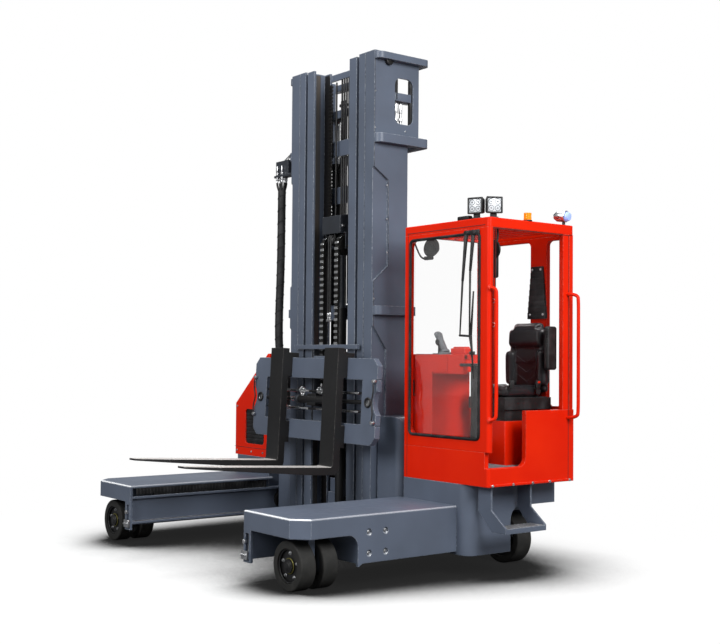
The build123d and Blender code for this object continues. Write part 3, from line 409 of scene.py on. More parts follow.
class Look(Enum):
    """The truck's finishes, each named for its real material."""

    GREY = Enamel("grey_two_pack_enamel_on_plate", "grey_paint", "#505866", **GREY_COAT)
    # The deck's bright upper edges are a painted highlight.
    DECK = DeckEnamel("grey_enamel_with_painted_edge_highlight", "grey_paint", "#505866", **GREY_COAT)
    RED = Enamel("red_polyester_enamel_on_sheet", "red_paint", "#d21b00", 0.34, gleam=0.15, drift="#dc2402",
                 edge_wear_and_highlight="#f5a08c", edge_wear_and_highlight_share=0.45)
    FORK = ForkEnamel("black_enamel_on_forged_steel", "black_paint", "#151516", 0.5, gleam=0.3, drift="#1d1d1e",
                      edge_wear_and_highlight="#8d8a86")
    BLACK = Enamel("black_satin_enamel", "black_paint", "#131314", 0.38, gleam=0.35, drift="#1b1b1c",
                   edge_wear_and_highlight="#77777a", edge_wear_and_highlight_share=0.4)
    ZINC = PlatedSteel("zinc_plated_steel", "bright_steel", "#d9dadc", 0.28, 1.0)
    CHROME = PlatedSteel("hard_chromed_rod", "bright_steel", "#e4e6e8", 0.22, 1.0, stretch=(1.0, 0.05, 1.0))
    CHAIN = PlatedSteel("oiled_chain_steel", "dark_steel", "#3c3b3a", 0.36, 0.85)
    BRASS = PlatedSteel("turned_brass", "brass", "#b98a3e", 0.3, 1.0)
    RIM = PlatedSteel("yellow_passivated_steel", "bright_steel", "#87824a", 0.4, 0.7)
    PLASTIC = Moulded("moulded_black_abs", "black_plastic", "#141415", 0.5, gleam=0.35)
    SLEEVE = Moulded("woven_nylon_hose_sleeve", "hose_wrap", "#161617", 0.6, gleam=0.35, grain_mm=6,
                     grain_depth_mm=0.8)
    TYRE = Moulded("solid_press_on_rubber", "tyre_rubber", "#222221", 0.72, gleam=0.3, grain_mm=5,
                   grain_depth_mm=0.4, scuffed="#3a3937")
    SEAL = Moulded("extruded_black_rubber_seal", "black_plastic", "#101011", 0.6, gleam=0.3, grain_mm=3)
    VINYL = Moulded("embossed_black_seat_vinyl", "seat_vinyl", "#1c1b1e", 0.3, grain_mm=3.5,
                    grain_depth_mm=0.12, scuffed="#242326")
    THREAD = Moulded("polyester_seam_thread", "seat_vinyl", "#3a3a3e", 0.7, grain_mm=1.5)
    HOSE = Moulded("rubber_hydraulic_hose", "hose_wrap", "#141415", 0.5, gleam=0.4, grain_mm=3,
                   grain_depth_mm=0.15)
    BOOT = Moulded("grey_soft_rubber_boot", "black_plastic", "#6a6d71", 0.6, grain_mm=3, scuffed="#85888c")
    # Dark red painted as the shade in the cab's folded seams.
    SHADE = Moulded("dark_red_painted_seam_shade", "black_plastic", "#5a0e04", 0.7, grain_mm=2, scuffed="#6a1507")
    MAT = Moulded("ribbed_grey_rubber_mat", "black_plastic", "#7b7f84", 0.7, grain_mm=4, scuffed="#95999d")
    # A darker copy of the grey enamel, painted as the shade on parts deep in the mast and the carriage.
    DARK = Enamel("grey_enamel_in_painted_shade", "grey_paint", "#2b2f36", 0.4, gleam=0.4, drift="#22252a",
                  edge_wear_and_highlight="#8b9096", edge_wear_and_highlight_share=0.6)
    GLASS = Clear("float_glass", "window_glass", "#ffffff", 0.02, gleam=0.3, ior=1.42)
    LENS = Clear("polycarbonate_lamp_lens", "lamp_white", "#dde1e5", 0.12, gleam=0.4, passes=0.15)
    BEACON = Clear("amber_acrylic_lens", "amber", "#f58a12", 0.12, passes=0.3, glow=0.35)
    BLUE = Clear("blue_lamp_lens", "lamp_white", "#9db2f2", 0.1, gleam=0.4, passes=0.1, glow=0.3)
    WORN = Worn("rubbed_roller_track", "dark_steel", "#474a50", 0.38, 0.3, bare="#5b534c")
    GREASE = Worn("greased_roller_track", "dark_steel", "#15161a", 0.42, 0.1, bare="#221f1d")


@dataclass
class Studio:
    """Floor, lights and the camera at the photograph's viewing angle."""

    camera_at: Point = (4438.0, 8053.0, 1631.0)
    yaw: float = 232.49
    pitch: float = 1.76
    roll: float = 0.47
    focal_px: float = 1151.5
    picture_px: tuple[int, int] = (720, 644)
    sensor_mm: float = 36.0
    sky: float = 0.26
    backdrop: str = "#ffffff"
    floor: str = "#e9eaea"
    bounce: str = "#6f7072"
    painted_contact_shadow: str = "#2a2a2a"

    def camera(self) -> None:
        """Add the camera and make it the scene's."""
        yaw, pitch, roll = radians(self.yaw), radians(self.pitch), radians(self.roll)
        ahead = Vector((cos(yaw) * cos(pitch), sin(yaw) * cos(pitch), sin(pitch)))
        level = ahead.cross(UP).normalized()
        above = level.cross(ahead)
        right = cos(roll) * level + sin(roll) * above
        up = cos(roll) * above - sin(roll) * level
        data = bpy.data.cameras.new("photo_camera")
        data.sensor_width, data.clip_end = self.sensor_mm, 100.0
        data.lens = self.focal_px / self.picture_px[0] * self.sensor_mm
        camera = bpy.context.scene.camera = stand("photo_camera", data)
        turn = Matrix((right, up, -ahead)).transposed().to_4x4()
        camera.matrix_world = Matrix.Translation(place(*self.camera_at)) @ turn

    def lamp(self, name: str, at: Point, size: float, power: float) -> None:
        """Add a soft area light that faces the truck's middle.

        Args:
            name: The lamp's name.
            at: Its place in truck millimetres.
            size: The panel's side in metres.
            power: Its power in watts.
        """
        data = bpy.data.lights.new(name, "AREA")
        data.shape, data.size, data.energy = "SQUARE", size, power
        lamp = stand(name, data)
        lamp.location = place(*at)
        lamp.rotation_euler = (place(-1000, 0, 1500) - lamp.location).to_track_quat("-Z", "Y").to_euler()
        lamp.visible_camera = lamp.visible_transmission = False

    def surroundings(self) -> None:
        """Light softly from all round, and show a white backdrop to the camera and through glass."""
        world = bpy.context.scene.world = bpy.data.worlds.new("studio")
        world.use_nodes = True
        world.node_tree.nodes.clear()
        nodes = Nodes(world.node_tree)
        soft, white = [nodes.add("Background", {"Color": tone, "Strength": power}).outputs[0]
                       for tone, power in (("#ffffff", self.sky), (self.backdrop, 1.0))]
        mixed = nodes.add("MixShader", {0: nodes.seen(), 1: soft, 2: white})
        nodes.add("OutputWorld", {"Surface": mixed.outputs[0]})

    def ground(self) -> None:
        """Lay the pale floor, which keeps the truck's shadow."""
        mesh = bpy.data.meshes.new("floor")
        sheet = bmesh.new()
        bmesh.ops.create_grid(sheet, x_segments=1, y_segments=1, size=30.0)
        sheet.to_mesh(mesh)
        sheet.free()
        material = Finish("matt_studio_floor", "", self.floor, 0.9, gleam=0.0).material()
        nodes = Nodes(material.node_tree)
        seen = nodes.seen()
        # Under the truck no sky reaches the floor, so a near black painted shadow lies there and clears within a
        # metre.
        sky = nodes.ramp(nodes.add("AmbientOcclusion", {"Distance": 1.3}, samples=16).outputs["AO"], 0.6, 0.9)
        tone = nodes.blend(sky, self.painted_contact_shadow, nodes.blend(seen, self.bounce, self.floor))
        nodes.feed(nodes.shader, {"Base Color": tone})
        white = nodes.add("Emission", {"Color": nodes.blend(sky, self.painted_contact_shadow, self.backdrop), "Strength": 1.0})
        # The floor's own white grows away from the truck, so the shadow fades into the backdrop.
        away = nodes.add("VectorMath", {0: nodes.where()}, operation="LENGTH").outputs["Value"]
        share = nodes.math(seen, nodes.ramp(away, 2.2, 3.9, 0.7, 1.0))
        mixed = nodes.add("MixShader", {0: share, 1: nodes.shader.outputs[0], 2: white.outputs[0]})
        nodes.feed(nodes.tree.nodes["Material Output"], {"Surface": mixed.outputs[0]})
        mesh.materials.append(material)
        stand("floor", mesh)

    def build(self) -> None:
        """Set the stage."""
        bpy.context.scene.view_settings.view_transform = "Standard"
        self.camera()
        self.surroundings()
        self.ground()
        self.lamp("key", (-900, 9300, 6300), 5.0, 1000)
        self.lamp("front", (8000, 1500, 6200), 5.0, 780)
        self.lamp("rear", (-8500, -6500, 6000), 6.0, 420)
        self.lamp("top", (-1000, 0, 9500), 4.0, 420)


class Piece:
    """One mesh piece, gathered from shapes that are drawn in truck millimetres. Each shape gives it back."""

    def __init__(self, name: str) -> None:
        """Start an empty piece."""
        self.name, self.mesh = name, bmesh.new()

    def absorb(self, shape: BMesh, turn: Matrix) -> "Piece":
        """Add a shape and free it.

        Args:
            shape: The shape in millimetres.
            turn: Where it goes in truck millimetres.

        Returns:
            The piece, for more shapes.
        """
        bmesh.ops.recalc_face_normals(shape, faces=shape.faces)
        seat = Matrix.Translation(place(0, 0, 0)) @ Matrix.Scale(MM, 4) @ turn
        bmesh.ops.transform(shape, matrix=seat, verts=shape.verts)
        scratch = bpy.data.meshes.new("scratch")
        shape.to_mesh(scratch)
        shape.free()
        self.mesh.from_mesh(scratch)
        bpy.data.meshes.remove(scratch)
        return self

    @staticmethod
    def soften(shape: BMesh, edges: Iterable[bmesh.types.BMEdge], radius: float, segments: int) -> None:
        """Round some edges of a shape, where a radius is given."""
        if radius > 0:
            bmesh.ops.bevel(shape, geom=list(edges), offset=radius, segments=segments, profile=0.5,
                            affect="EDGES", material=-1)

    def box(self, low: Point, high: Point, radius: float = 2.0, segments: int = 2,
            turn: float = 0.0, axis: str = "Z") -> "Piece":
        """Add a block with rounded edges.

        Args:
            low: Its lowest corner before the turn.
            high: Its highest corner before the turn.
            radius: Radius of its edges.
            segments: Segments of the rounding.
            turn: Turn about its own middle in degrees.
            axis: Axis of the turn.

        Returns:
            The piece, for more shapes.
        """
        shape = bmesh.new()
        bmesh.ops.create_cube(shape, size=1.0, matrix=Matrix.Diagonal((*(Vector(high) - Vector(low)), 1.0)))
        self.soften(shape, shape.edges, radius, segments)
        middle = (Vector(high) + Vector(low)) / 2
        return self.absorb(shape, Matrix.Translation(middle) @ Matrix.Rotation(radians(turn), 4, axis))

    def block(self, middle: Point, half: Point, *rest: float | str) -> "Piece":
        """Add a block by its middle and half its size, with the rest as in box."""
        return self.box(Vector(middle) - Vector(half), Vector(middle) + Vector(half), *rest)

    def rod(self, start: Point, end: Point, diameter: float, radius: float = 1.0, sides: int = 24,
            tip: float | None = None) -> "Piece":
        """Add a round, six-sided or tapered bar with rounded rims.

        Args:
            start: Middle of one end.
            end: Middle of the other end.
            diameter: Its diameter at the start.
            radius: Radius of its rims.
            sides: Number of sides; 6 makes a bolt's head.
            tip: Its diameter at the end, where that differs.

        Returns:
            The piece, for more shapes.
        """
        start, end = Vector(start), Vector(end)
        shape = bmesh.new()
        bmesh.ops.create_cone(shape, cap_ends=True, segments=sides, radius1=diameter / 2,
                              radius2=(diameter if tip is None else tip) / 2, depth=(end - start).length)
        rims = [edge for edge in shape.edges if abs(edge.verts[0].co.z - edge.verts[1].co.z) < 1e-6]
        self.soften(shape, rims, radius, 2)
        return self.absorb(shape, self.facing((start + end) / 2, end - start))

    @staticmethod
    def facing(middle: Point, axis: Point) -> Matrix:
        """Give the matrix that moves a shape to its middle and turns its Z along an axis."""
        return Matrix.Translation(middle) @ Vector(axis).to_track_quat("Z", "Y").to_matrix().to_4x4()

    def ring(self, middle: Point, axis: Point, diameter: float, thick: float, steps: int = 40) -> "Piece":
        """Add a ring of round section.

        Args:
            middle: Its centre.
            axis: The direction that it faces.
            diameter: Its diameter at the middle of its section.
            thick: Diameter of its section.
            steps: Steps round it.

        Returns:
            The piece, for more shapes.
        """
        shape = bmesh.new()
        upright = Matrix.Translation((diameter / 2, 0, 0)) @ Matrix.Rotation(pi / 2, 4, "X")
        bmesh.ops.create_circle(shape, segments=12, radius=thick / 2, matrix=upright)
        bmesh.ops.spin(shape, geom=shape.verts[:] + shape.edges[:], cent=(0, 0, 0), axis=(0, 0, 1),
                       angle=2 * pi, steps=steps, use_merge=True)
        return self.absorb(shape, self.facing(middle, axis))

    def ball(self, middle: Point, size: Point) -> "Piece":
        """Add an egg-shaped knob.

        Args:
            middle: Its centre.
            size: Its size along X, Y and Z.

        Returns:
            The piece, for more shapes.
        """
        shape = bmesh.new()
        bmesh.ops.create_uvsphere(shape, u_segments=24, v_segments=14, radius=0.5)
        return self.absorb(shape, Matrix.Translation(middle) @ Matrix.Diagonal((*size, 1.0)))

    def bolt(self, at: Point, axis: Point, across: float, tall: float = 0.0) -> "Piece":
        """Add a washer and a six-sided bolt head.

        Args:
            at: Middle of the washer's seat.
            axis: The direction that the head faces.
            across: Size of the head over its corners.
            tall: Height of the head, or 0 for the usual one.

        Returns:
            The piece, for more shapes.
        """
        seat, way = Vector(at), Vector(axis).normalized()
        self.rod(seat, seat + way * across * 0.14, across * 1.45, 0.5)
        return self.rod(seat + way * across * 0.12, seat + way * (tall or across * 0.62), across, 1.0, 6)

    def tube(self, points: Sequence[Point], diameter: float, closed: bool = False) -> "Piece":
        """Add a bar bent along a smooth line.

        Args:
            points: The line's control points.
            diameter: The bar's diameter.
            closed: Whether the line closes on itself.

        Returns:
            The piece, for more shapes.
        """
        mesh = bent(points, diameter, closed)
        self.mesh.from_mesh(mesh)
        bpy.data.meshes.remove(mesh)
        return self


class Workshop:
    """Dresses the truck's nodes, and turns gathered pieces into objects that ride on its bodies."""

    def __init__(self) -> None:
        """Start with no material built and no piece open."""
        self.built: dict[Look, bpy.types.Material] = {}
        self.open: list[tuple[Piece, Look, str, tuple[str, ...]]] = []

    def dress(self, data: bpy.types.ID, look: Look) -> None:
        """Give a mesh or curve one finish, whose material is built the first time.

        Args:
            data: The mesh or curve.
            look: Its finish.
        """
        if look not in self.built:
            self.built[look] = look.value.material()
        data.materials.clear()
        data.materials.append(self.built[look])

    def piece(self, name: str, look: Look, body: str, *nodes: str) -> Piece:
        """Open a piece, with its finish, its body and the CAD nodes that it stands for."""
        self.open.append((Piece(name), look, body, nodes))
        return self.open[-1][0]

    def close(self) -> list[bpy.types.Object]:
        """Turn all open pieces into finished objects.

        Returns:
            The objects.
        """
        made = []
        for piece, look, body, nodes in self.open:
            data = bpy.data.meshes.new(piece.name)
            piece.mesh.to_mesh(data)
            piece.mesh.free()
            data.shade_smooth()
            data.set_sharp_from_angle(angle=radians(SHARP_DEG))
            made.append(self.seat(stand(piece.name, data), look, body, *nodes))
        self.open.clear()
        return made

    def seat(self, thing: bpy.types.Object, look: Look, body: str, *nodes: str) -> bpy.types.Object:
        """Give an object its finish, its body and the nodes that it stands for.

        Args:
            thing: The object.
            look: Its finish.
            body: The body that it rides on.
            nodes: CAD nodes that it stands for.

        Returns:
            The same object.
        """
        self.dress(thing.data, look)
        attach(thing, body)
        if nodes:
            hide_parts(*nodes)
        LOG.info("%s rides on %s", thing.name, body)
        return thing

    def hose(self, name: str, points: Sequence[Point], diameter: float, body: str, lay: str,
             stiffness: str = "medium", look: Look = Look.HOSE, nodes: Sequence[str] = (),
             with_pieces: Sequence[bpy.types.Object] = ()) -> None:
        """Args:
            name: Its name.
            points: The control points of its line in truck millimetres.
            diameter: Its diameter in millimetres.
            body: The body that it rides on.
            look: Its finish.
            nodes: CAD nodes that it stands for.
            with_pieces: Bindings and fittings on it; not used.
        """
        hose = self.seat(stand(name, smooth_line(name, points, diameter)), look, body, *nodes)


@dataclass
class Trim:
    """Pieces that are added to one part of the truck, on one body unless another is named."""

    shop: Workshop
    body: str = "chassis"

    def new(self, name: str, look: Look, body: str = "", *nodes: str) -> Piece:
        """Open a piece."""
        return self.shop.piece(name, look, body or self.body, *nodes)


@dataclass
class Cab(Trim):
    """Trim of the cab: seals, lamps, wipers, mirrors, controls, floor and entry."""

    front: float = -1442.0
    rear: float = -2355.0
    inner: float = 983.0
    outer: float = 1943.0
    top: float = 2674.0

    def window_seal(self) -> None:
        """Fit the rubber seal round the front window's rounded opening."""
        y0, y1, z0, z1, corner = self.inner + 64, self.outer - 100, 1031.0, 2560.0, 84.0
        rows = [(y0, z0 + corner), (y0, z1 - corner), (y0, z1), (y0 + corner, z1), (y1 - corner, z1), (y1, z1),
                (y1, z1 - corner), (y1, z0 + corner), (y1, z0), (y1 - corner, z0), (y0 + corner, z0), (y0, z0)]
        self.new("window_seal", Look.SEAL).tube([(self.front + 1, y, z) for y, z in rows], 24, closed=True)

    def lamps(self) -> None:
        """Fit the two finned work lamps, the bullet-shaped marker lamp, its bracket and the beacon's base."""
        lens, rings = self.new("lamp_lenses", Look.LENS), self.new("lamp_reflectors", Look.BOOT)
        body, top = self.new("roof_lamp_housings", Look.PLASTIC, "", "roof_lamps"), self.top
        for x, y, turn in ((-1475.0, 1774.0, 20.0), (-1538.0, 1886.0, 62.0)):
            way = Vector((cos(radians(turn)), sin(radians(turn)), 0.0))
            across = Vector((-way.y, way.x, 0.0))
            middle = Vector((x, y, top + 96))
            face = middle + way * 25
            lens.block(face, (4, 52, 52), 3.5, 2, turn)
            body.block(middle, (26, 59, 59), 16, 4, turn)
            body.block(middle - UP * 72, (12, 24, 22), 4, 2, turn)
            body.block(middle - UP * 91.5, (20, 34, 5.5), 3, 2, turn)
            for i in range(-4, 5):
                body.block(middle - way * 30 + UP * i * 11, (12, 48, 2), 0.8, 1, turn)
            for side in SIDES:
                body.block(face + across * side * 56 + way * 3, (8, 6, 60), 3, 2, turn)
                body.block(face + UP * side * 56 + way * 3, (8, 60, 6), 3, 2, turn)
                for up in SIDES:
                    spot = face + way * 3 + across * side * 25 + UP * up * 25
                    rings.ring(spot, way, 40, 5, 28).rod(spot - way * 2, spot + way * 2, 13, 1)
        way = Vector((cos(radians(104)), sin(radians(104)), -0.12)).normalized()
        middle = Vector((-2284.0, 1900.0, top + 72))
        body.rod(middle - UP * 40, middle - UP * 74, 24, 2).box((-1512, 1560, top - 2), (-1470, 1690, top + 34), 8)
        shell = self.new("marker_rim", Look.CHROME).rod(middle - way * 50, middle - way * 84, 88, 10, 32, 50)
        shell.rod(middle - way * 54, middle + way * 22, 90, 4, 32).ring(middle + way * 20, way, 84, 9)
        self.new("marker_lens", Look.BLUE).rod(middle + way * 18, middle + way * 56, 80, 14, 32, 66)
        x, y = self.rear + 487, self.outer - 28
        self.new("beacon_base", Look.PLASTIC).rod((x, y, top - 2), (x, y, top + 9), 70, 2)

    def wipers(self) -> None:
        """Hang the two-armed wiper from its pivots over the window."""
        x, wiper = self.front + 16, self.new("wiper", Look.PLASTIC)
        arms = ((1713, 2552), (1680, 2204), (1652, 1803)), ((1789, 2545), (1763, 2278), (1756, 1797))
        for top, knee, foot in arms:
            wiper.rod((self.front - 2, top[0], 2565), (x + 12, top[0], 2565), 44, 4)
            wiper.rod((x + 2, *top), (x + 6, *knee), 30, 4, 20, 20)
            wiper.rod((x + 6, *knee), (x + 4, *foot), 17, 3, 16, 11)
        wiper.rod((x + 4, 1646, 1802), (x + 4, 1764, 1796), 17, 3)
        wiper.rod((x, 1794, 2130), (x + 4, 1772, 1800), 12, 3, 16, 20)
        wiper.rod((x + 4, 1772, 1800), (x, 1799, 1480), 20, 3, 16, 9)
        wiper.rod((x + 4, 1760, 1790), (x + 4, 1790, 1660), 15, 3)
        wiper.box((self.front + 1, 1688, 2548), (self.front + 13, 1846, 2588), 5)

    def mirrors(self) -> None:
        """Hang the fan in its cage and the round mirror inside the front window."""
        x, fan, mirror = self.front - 90, self.new("cab_fan", Look.PLASTIC), self.new("cab_mirror", Look.PLASTIC)
        fan.tube([(x, 992, 2556), (x, 1040, 2470), (x - 4, 1078, 2425), (x - 8, 1110, 2418)], 14)
        fan.rod((x - 34, 1182, 2500), (x - 4, 1188, 2504), 120, 12, 28, 164)
        fan.rod((x - 70, 1176, 2496), (x - 32, 1182, 2500), 74, 8)
        fan.box((x - 46, 1084, 2410), (x - 14, 1176, 2440), 8).box((x - 40, 1140, 2424), (x - 20, 1172, 2500), 6)
        for ring in (50, 92, 134):
            fan.ring((x + 1, 1188, 2504), (1, 0.1, 0), ring, 5)
        fan.rod((x - 20, 1188, 2580), (x - 10, 1190, 2608), 18, 2)
        mirror.rod((x - 30, 1870, 2440), (x - 12, 1870, 2440), 150, 8, 32)
        mirror.tube([(x - 30, 1870, 2440), (x - 60, 1890, 2520), (x - 40, 1895, 2600)], 16)
        mirror.box((x - 60, 1842, 2230), (x - 16, 1896, 2420), 14)

    def controls(self) -> None:
        """Fit the leaning joystick, its boot, the switch box and the console's face and latch."""
        top, x, stick = 1658.0, -1560, self.new("joystick", Look.BOOT)
        stick.rod((x, 1334, top - 2), (x, 1334, top + 20), 112, 6, 32, 96)
        stick.rod((x, 1334, top + 16), (x, 1326, top + 40), 84, 8, 28, 62)
        stick.rod((x, 1328, top + 34), (x, 1286, top + 112), 52, 10, 24, 46)
        stick.rod((x, 1290, top + 98), (x, 1252, top + 162), 46, 12, 24, 64).ball((x, 1250, top + 160), (60, 62, 44))
        panel = self.new("console_top", Look.BOOT).box((-1880, 1036, top), (-1515, 1408, top + 5), 2)
        for i in range(4):
            panel.box((-1700, 1060 + i * 46, top + 4), (-1672, 1094 + i * 46, top + 12), 3)
        box = self.new("switch_box", Look.RED).box((-1640, 1398, top + 2), (-1560, 1560, top + 50), 6)
        box.box((-1630, 1412, top + 44), (-1572, 1546, top + 62), 8)
        self.new("stop_button", Look.PLASTIC).rod((-1600, 1600, top), (-1600, 1600, top + 26), 44, 4)
        face = self.new("console_face", Look.RED).box((-1560, 1000, top - 150), (-1512, 1596, top + 3), 8, 3)
        face.box((-1640, 1390, top - 40), (-1520, 1596, top + 3), 6)
        latch = self.new("console_latch", Look.PLASTIC).box((-1496, 1012, top - 330), (-1478, 1050, top - 200), 8)
        latch.rod((-1496, 1031, top - 262), (-1462, 1031, top - 262), 22, 3)

    def entry(self) -> None:
        """Lay the floor mat and fit the sill's lip, the seat's pedestal, belt hooks, body bolts and step tread."""
        low, front, inner, outer = 687.0, self.front, self.inner, self.outer
        mat, lip = self.new("floor_mat", Look.MAT), self.new("sill_lip", Look.RED)
        steel, tread = self.new("cab_bolts", Look.ZINC), self.new("step_tread", Look.ZINC)
        mat.box((self.rear + 60, inner + 60, low + 20), (front - 50, outer - 40, low + 128), 3)
        for i in range(18):
            x = front - 80 - i * 44
            mat.box((x - 12, inner + 80, low + 126), (x, outer - 50, low + 132), 2)
        lip.box((self.rear + 20, outer - 2, low + 2), (front - 20, outer + 8, low + 20), 2)
        lip.box((front - 350, outer - 34, 818), (front - 30, outer - 6, 826), 2)
        lip.box((-2164, 1386, 706), (-1796, 1754, 1154), 6)
        for back in (38, 250, 455, 640, 860):
            steel.bolt((front - back, outer + 8, low + 11), (0, 1, 0), 16)
        for z in (1878, 2054):
            rows = ((outer - 8, z - 16), (outer + 22, z - 14), (outer + 22, z + 14), (outer - 8, z + 16))
            steel.tube([(-1484, y, up) for y, up in rows], 7)
        for i in range(12):
            x = -1556 - i * 32
            tread.box((x - 9, 1906, 380), (x + 9, 2038, 393), 2)
            for y in range(1912, 2040, 16):
                tread.box((x - 7, y, 392), (x + 7, y + 5, 395), 0.8, 1)

    def handles(self) -> None:
        """Bend the tubular grab handles beside the entry."""
        rail = self.new("entry_handles", Look.RED, "", "grab_handles")
        for x, y, out, low, high in ((self.front - 34, self.outer, 1988, 1178, 2152),
                                     (self.rear + 50, self.outer - 8, 2036, 1178, 2136)):
            rail.tube([(x + 26, y - 8, low), (x + 4, out - 4, low), (x, out, low + 66), (x, out, low + 240),
                       (x, out, high - 240), (x, out, high - 66), (x + 4, out - 4, high), (x + 26, y - 8, high)], 27)
            for z in (low, high):
                rail.rod((x + 24, y - 3, z), (x + 24, y + 5, z), 46, 2)

    def rear_panel(self) -> None:
        """Bolt the tapered black panel to the rear centre pillar and draw the body's folded seams as dark red strips
        of painted shade.
        """
        panel, steel = self.new("rear_panel", Look.PLASTIC), self.new("rear_panel_bolts", Look.ZINC)
        seam, x = self.new("cab_seams", Look.SHADE), self.rear + 38
        front, outer, top = self.front, self.outer, self.top
        for i in range(9):
            wide = 100 - 4.6 * i
            panel.box((x, 1600 - wide, 1950 + 46 * i), (x + 22, 1600 + wide, 2002 + 46 * i), 3)
        for y, z in ((1556, 2346), (1644, 2346), (1530, 1985), (1670, 1985)):
            steel.bolt((x + 22, y, z), (1, 0, 0), 13)
        # Each seam is a thin dark red strip, painted shade in the fold.
        seam.box((self.rear + 44, outer - 1, top - 84), (front - 44, outer + 1.5, top - 78), 0.5, 1)
        seam.box((front - 1, self.inner + 24, top - 60), (front + 1.5, outer - 44, top - 54), 0.5, 1)
        for x, low in ((front - 44, 1178), (front - 66, 1250), (self.rear + 60, 700)):
            seam.box((x - 2.5, outer - 6, low), (x + 2.5, outer + 1.5, 2590), 0.5, 1)
        seam.box((front - 1, self.inner + 34, 700), (front + 1.2, self.inner + 38, 2610), 0.5, 1)

    def build(self) -> None:
        """Make all of the cab's trim."""
        for step in (self.window_seal, self.lamps, self.wipers, self.mirrors, self.controls, self.entry,
                     self.handles, self.rear_panel):
            step()


@dataclass
class Seat(Trim):
    """The padded seat: simulated cushion and back with their stitching, belts and pedestal trim."""

    left: float = 1800.0
    right: float = 1340.0
    front: float = -1760.0
    rear: float = -2200.0
    top: float = 1430.0
    voxel_mm: float = 7.0
    cap_mm: float = 13.0
    pressure: float = 4.0
    frames: int = 20
    passes: int = 6

    def pad(self, node: str, blocks: Sequence[tuple[Point, Point, float]]) -> bpy.types.Object:
        """Join blocks into one skin, blow it up as cloth, each point held to a few millimetres, and seat it.

        Args:
            node: The CAD node that the pad stands for.
            blocks: Low corner, high corner and edge radius of each block.

        Returns:
            The pad.
        """
        core, data = Piece(node + "_pad"), bpy.data.meshes.new(node + "_pad")
        for low, high, radius in blocks:
            core.box(low, high, radius, 4)
        core.mesh.to_mesh(data)
        core.mesh.free()
        pad = stand(core.name, data)
        skin = pad.modifiers.new("skin", "REMESH")
        skin.mode, skin.voxel_size = "VOXEL", self.voxel_mm * MM
        self.apply(pad)
        self.blow(pad)
        rounded = bmesh.new()
        rounded.from_mesh(pad.data)
        for _ in range(self.passes):
            bmesh.ops.smooth_vert(rounded, verts=rounded.verts, factor=0.5, use_axis_x=True, use_axis_y=True,
                                  use_axis_z=True)
        rounded.to_mesh(pad.data)
        rounded.free()
        pad.data.shade_smooth()
        fine = pad.modifiers.new("fine", "SUBSURF")
        fine.levels = fine.render_levels = 1
        self.shop.seat(pad, Look.VINYL, self.body, node)
        return pad

    @staticmethod
    def apply(pad: bpy.types.Object) -> None:
        """Make a pad's modifiers part of its mesh.

        Args:
            pad: The pad.
        """
        bpy.context.view_layer.update()
        graph = bpy.context.evaluated_depsgraph_get()
        made = bpy.data.meshes.new_from_object(pad.evaluated_get(graph))
        pad.modifiers.clear()
        pad.data = made

    def blow(self, pad: bpy.types.Object) -> None:
        """Run the cloth under pressure and cap how far each point moves.

        Args:
            pad: The pad.
        """
        rest = [vert.co.copy() for vert in pad.data.vertices]
        cloth = pad.modifiers.new("cloth", "CLOTH").settings
        cloth.use_pressure, cloth.uniform_pressure_force = True, self.pressure
        cloth.effector_weights.gravity = 0.0
        for step in range(1, self.frames + 1):
            bpy.context.scene.frame_set(step)
        self.apply(pad)
        bpy.context.scene.frame_set(1)
        for vert, start in zip(pad.data.vertices, rest):
            move = vert.co - start
            if move.length > self.cap_mm * MM:
                vert.co = start + move.normalized() * self.cap_mm * MM

    def cushion(self) -> None:
        """Make the seat cushion: a middle between two raised bolsters and a front roll."""
        x0, x1, y0, y1 = self.rear + 15, self.front - 15, self.right + 15, self.left - 15
        low, high = self.top - 85, self.top - 15
        self.pad("seat_cushion", [
            ((x0, y0 + 20, low), (x1, y1 - 20, high - 16), 22), ((x0, y0, low), (x1 - 12, y0 + 82, high), 26),
            ((x0, y1 - 82, low), (x1 - 12, y1, high), 26), ((x1 - 70, y0 + 30, low), (x1, y1 - 30, high - 4), 28)])

    def back(self) -> bpy.types.Object:
        """Make the backrest: panel, side bolsters, shoulders and headrest.

        Returns:
            The backrest.
        """
        x0, x1, y0, y1 = self.rear - 81, self.rear - 14, self.right + 24, self.left - 24
        low, high = self.top - 76, self.top + 501
        return self.pad("seat_back", [
            ((x0, y0 + 16, low), (x1 - 18, y1 - 16, high - 60), 24),
            ((x0 + 6, y0 - 22, low + 60), (x1 + 34, y0 + 84, high - 230), 40),
            ((x0 + 6, y1 - 84, low + 60), (x1 + 34, y1 + 12, high - 230), 40),
            ((x0 + 6, y0 - 6, low + 230), (x1 - 6, y1 + 6, high - 130), 36),
            ((x0 + 4, y0 + 2, high - 210), (x1 + 24, y1 - 2, high - 40), 44),
            ((x0 + 8, y0 + 42, high - 100), (x1 + 6, y1 - 42, high), 40)])

    def stitching(self, pad: bpy.types.Object) -> None:
        """Sew the backrest's middle: threads that lie on its swollen front.

        Args:
            pad: The backrest.
        """
        skin = bmesh.new()
        skin.from_mesh(pad.data)
        tree = BVHTree.FromBMesh(skin)
        thread, middle = self.new("seat_stitching", Look.THREAD), (self.left + self.right) / 2
        rows = [[(middle + side * (136 - 4 * i), self.top - 20 + i * 36) for i in range(10)] for side in SIDES]
        rows += [[(middle + d, self.top + level + abs(d) * 0.55) for d in range(-120, 121, 20)]
                 for level in (20, 95, 170)]
        for row in rows:
            hits = [tree.ray_cast(place(self.rear + 200, y, z), Vector((-1, 0, 0)))[0] for y, z in row]
            points = [(hit - place(0, 0, 0)) / MM + Vector((0.6, 0, 0)) for hit in hits if hit is not None]
            if len(points) > 2:
                thread.tube([tuple(point) for point in points], 2.6)
        skin.free()

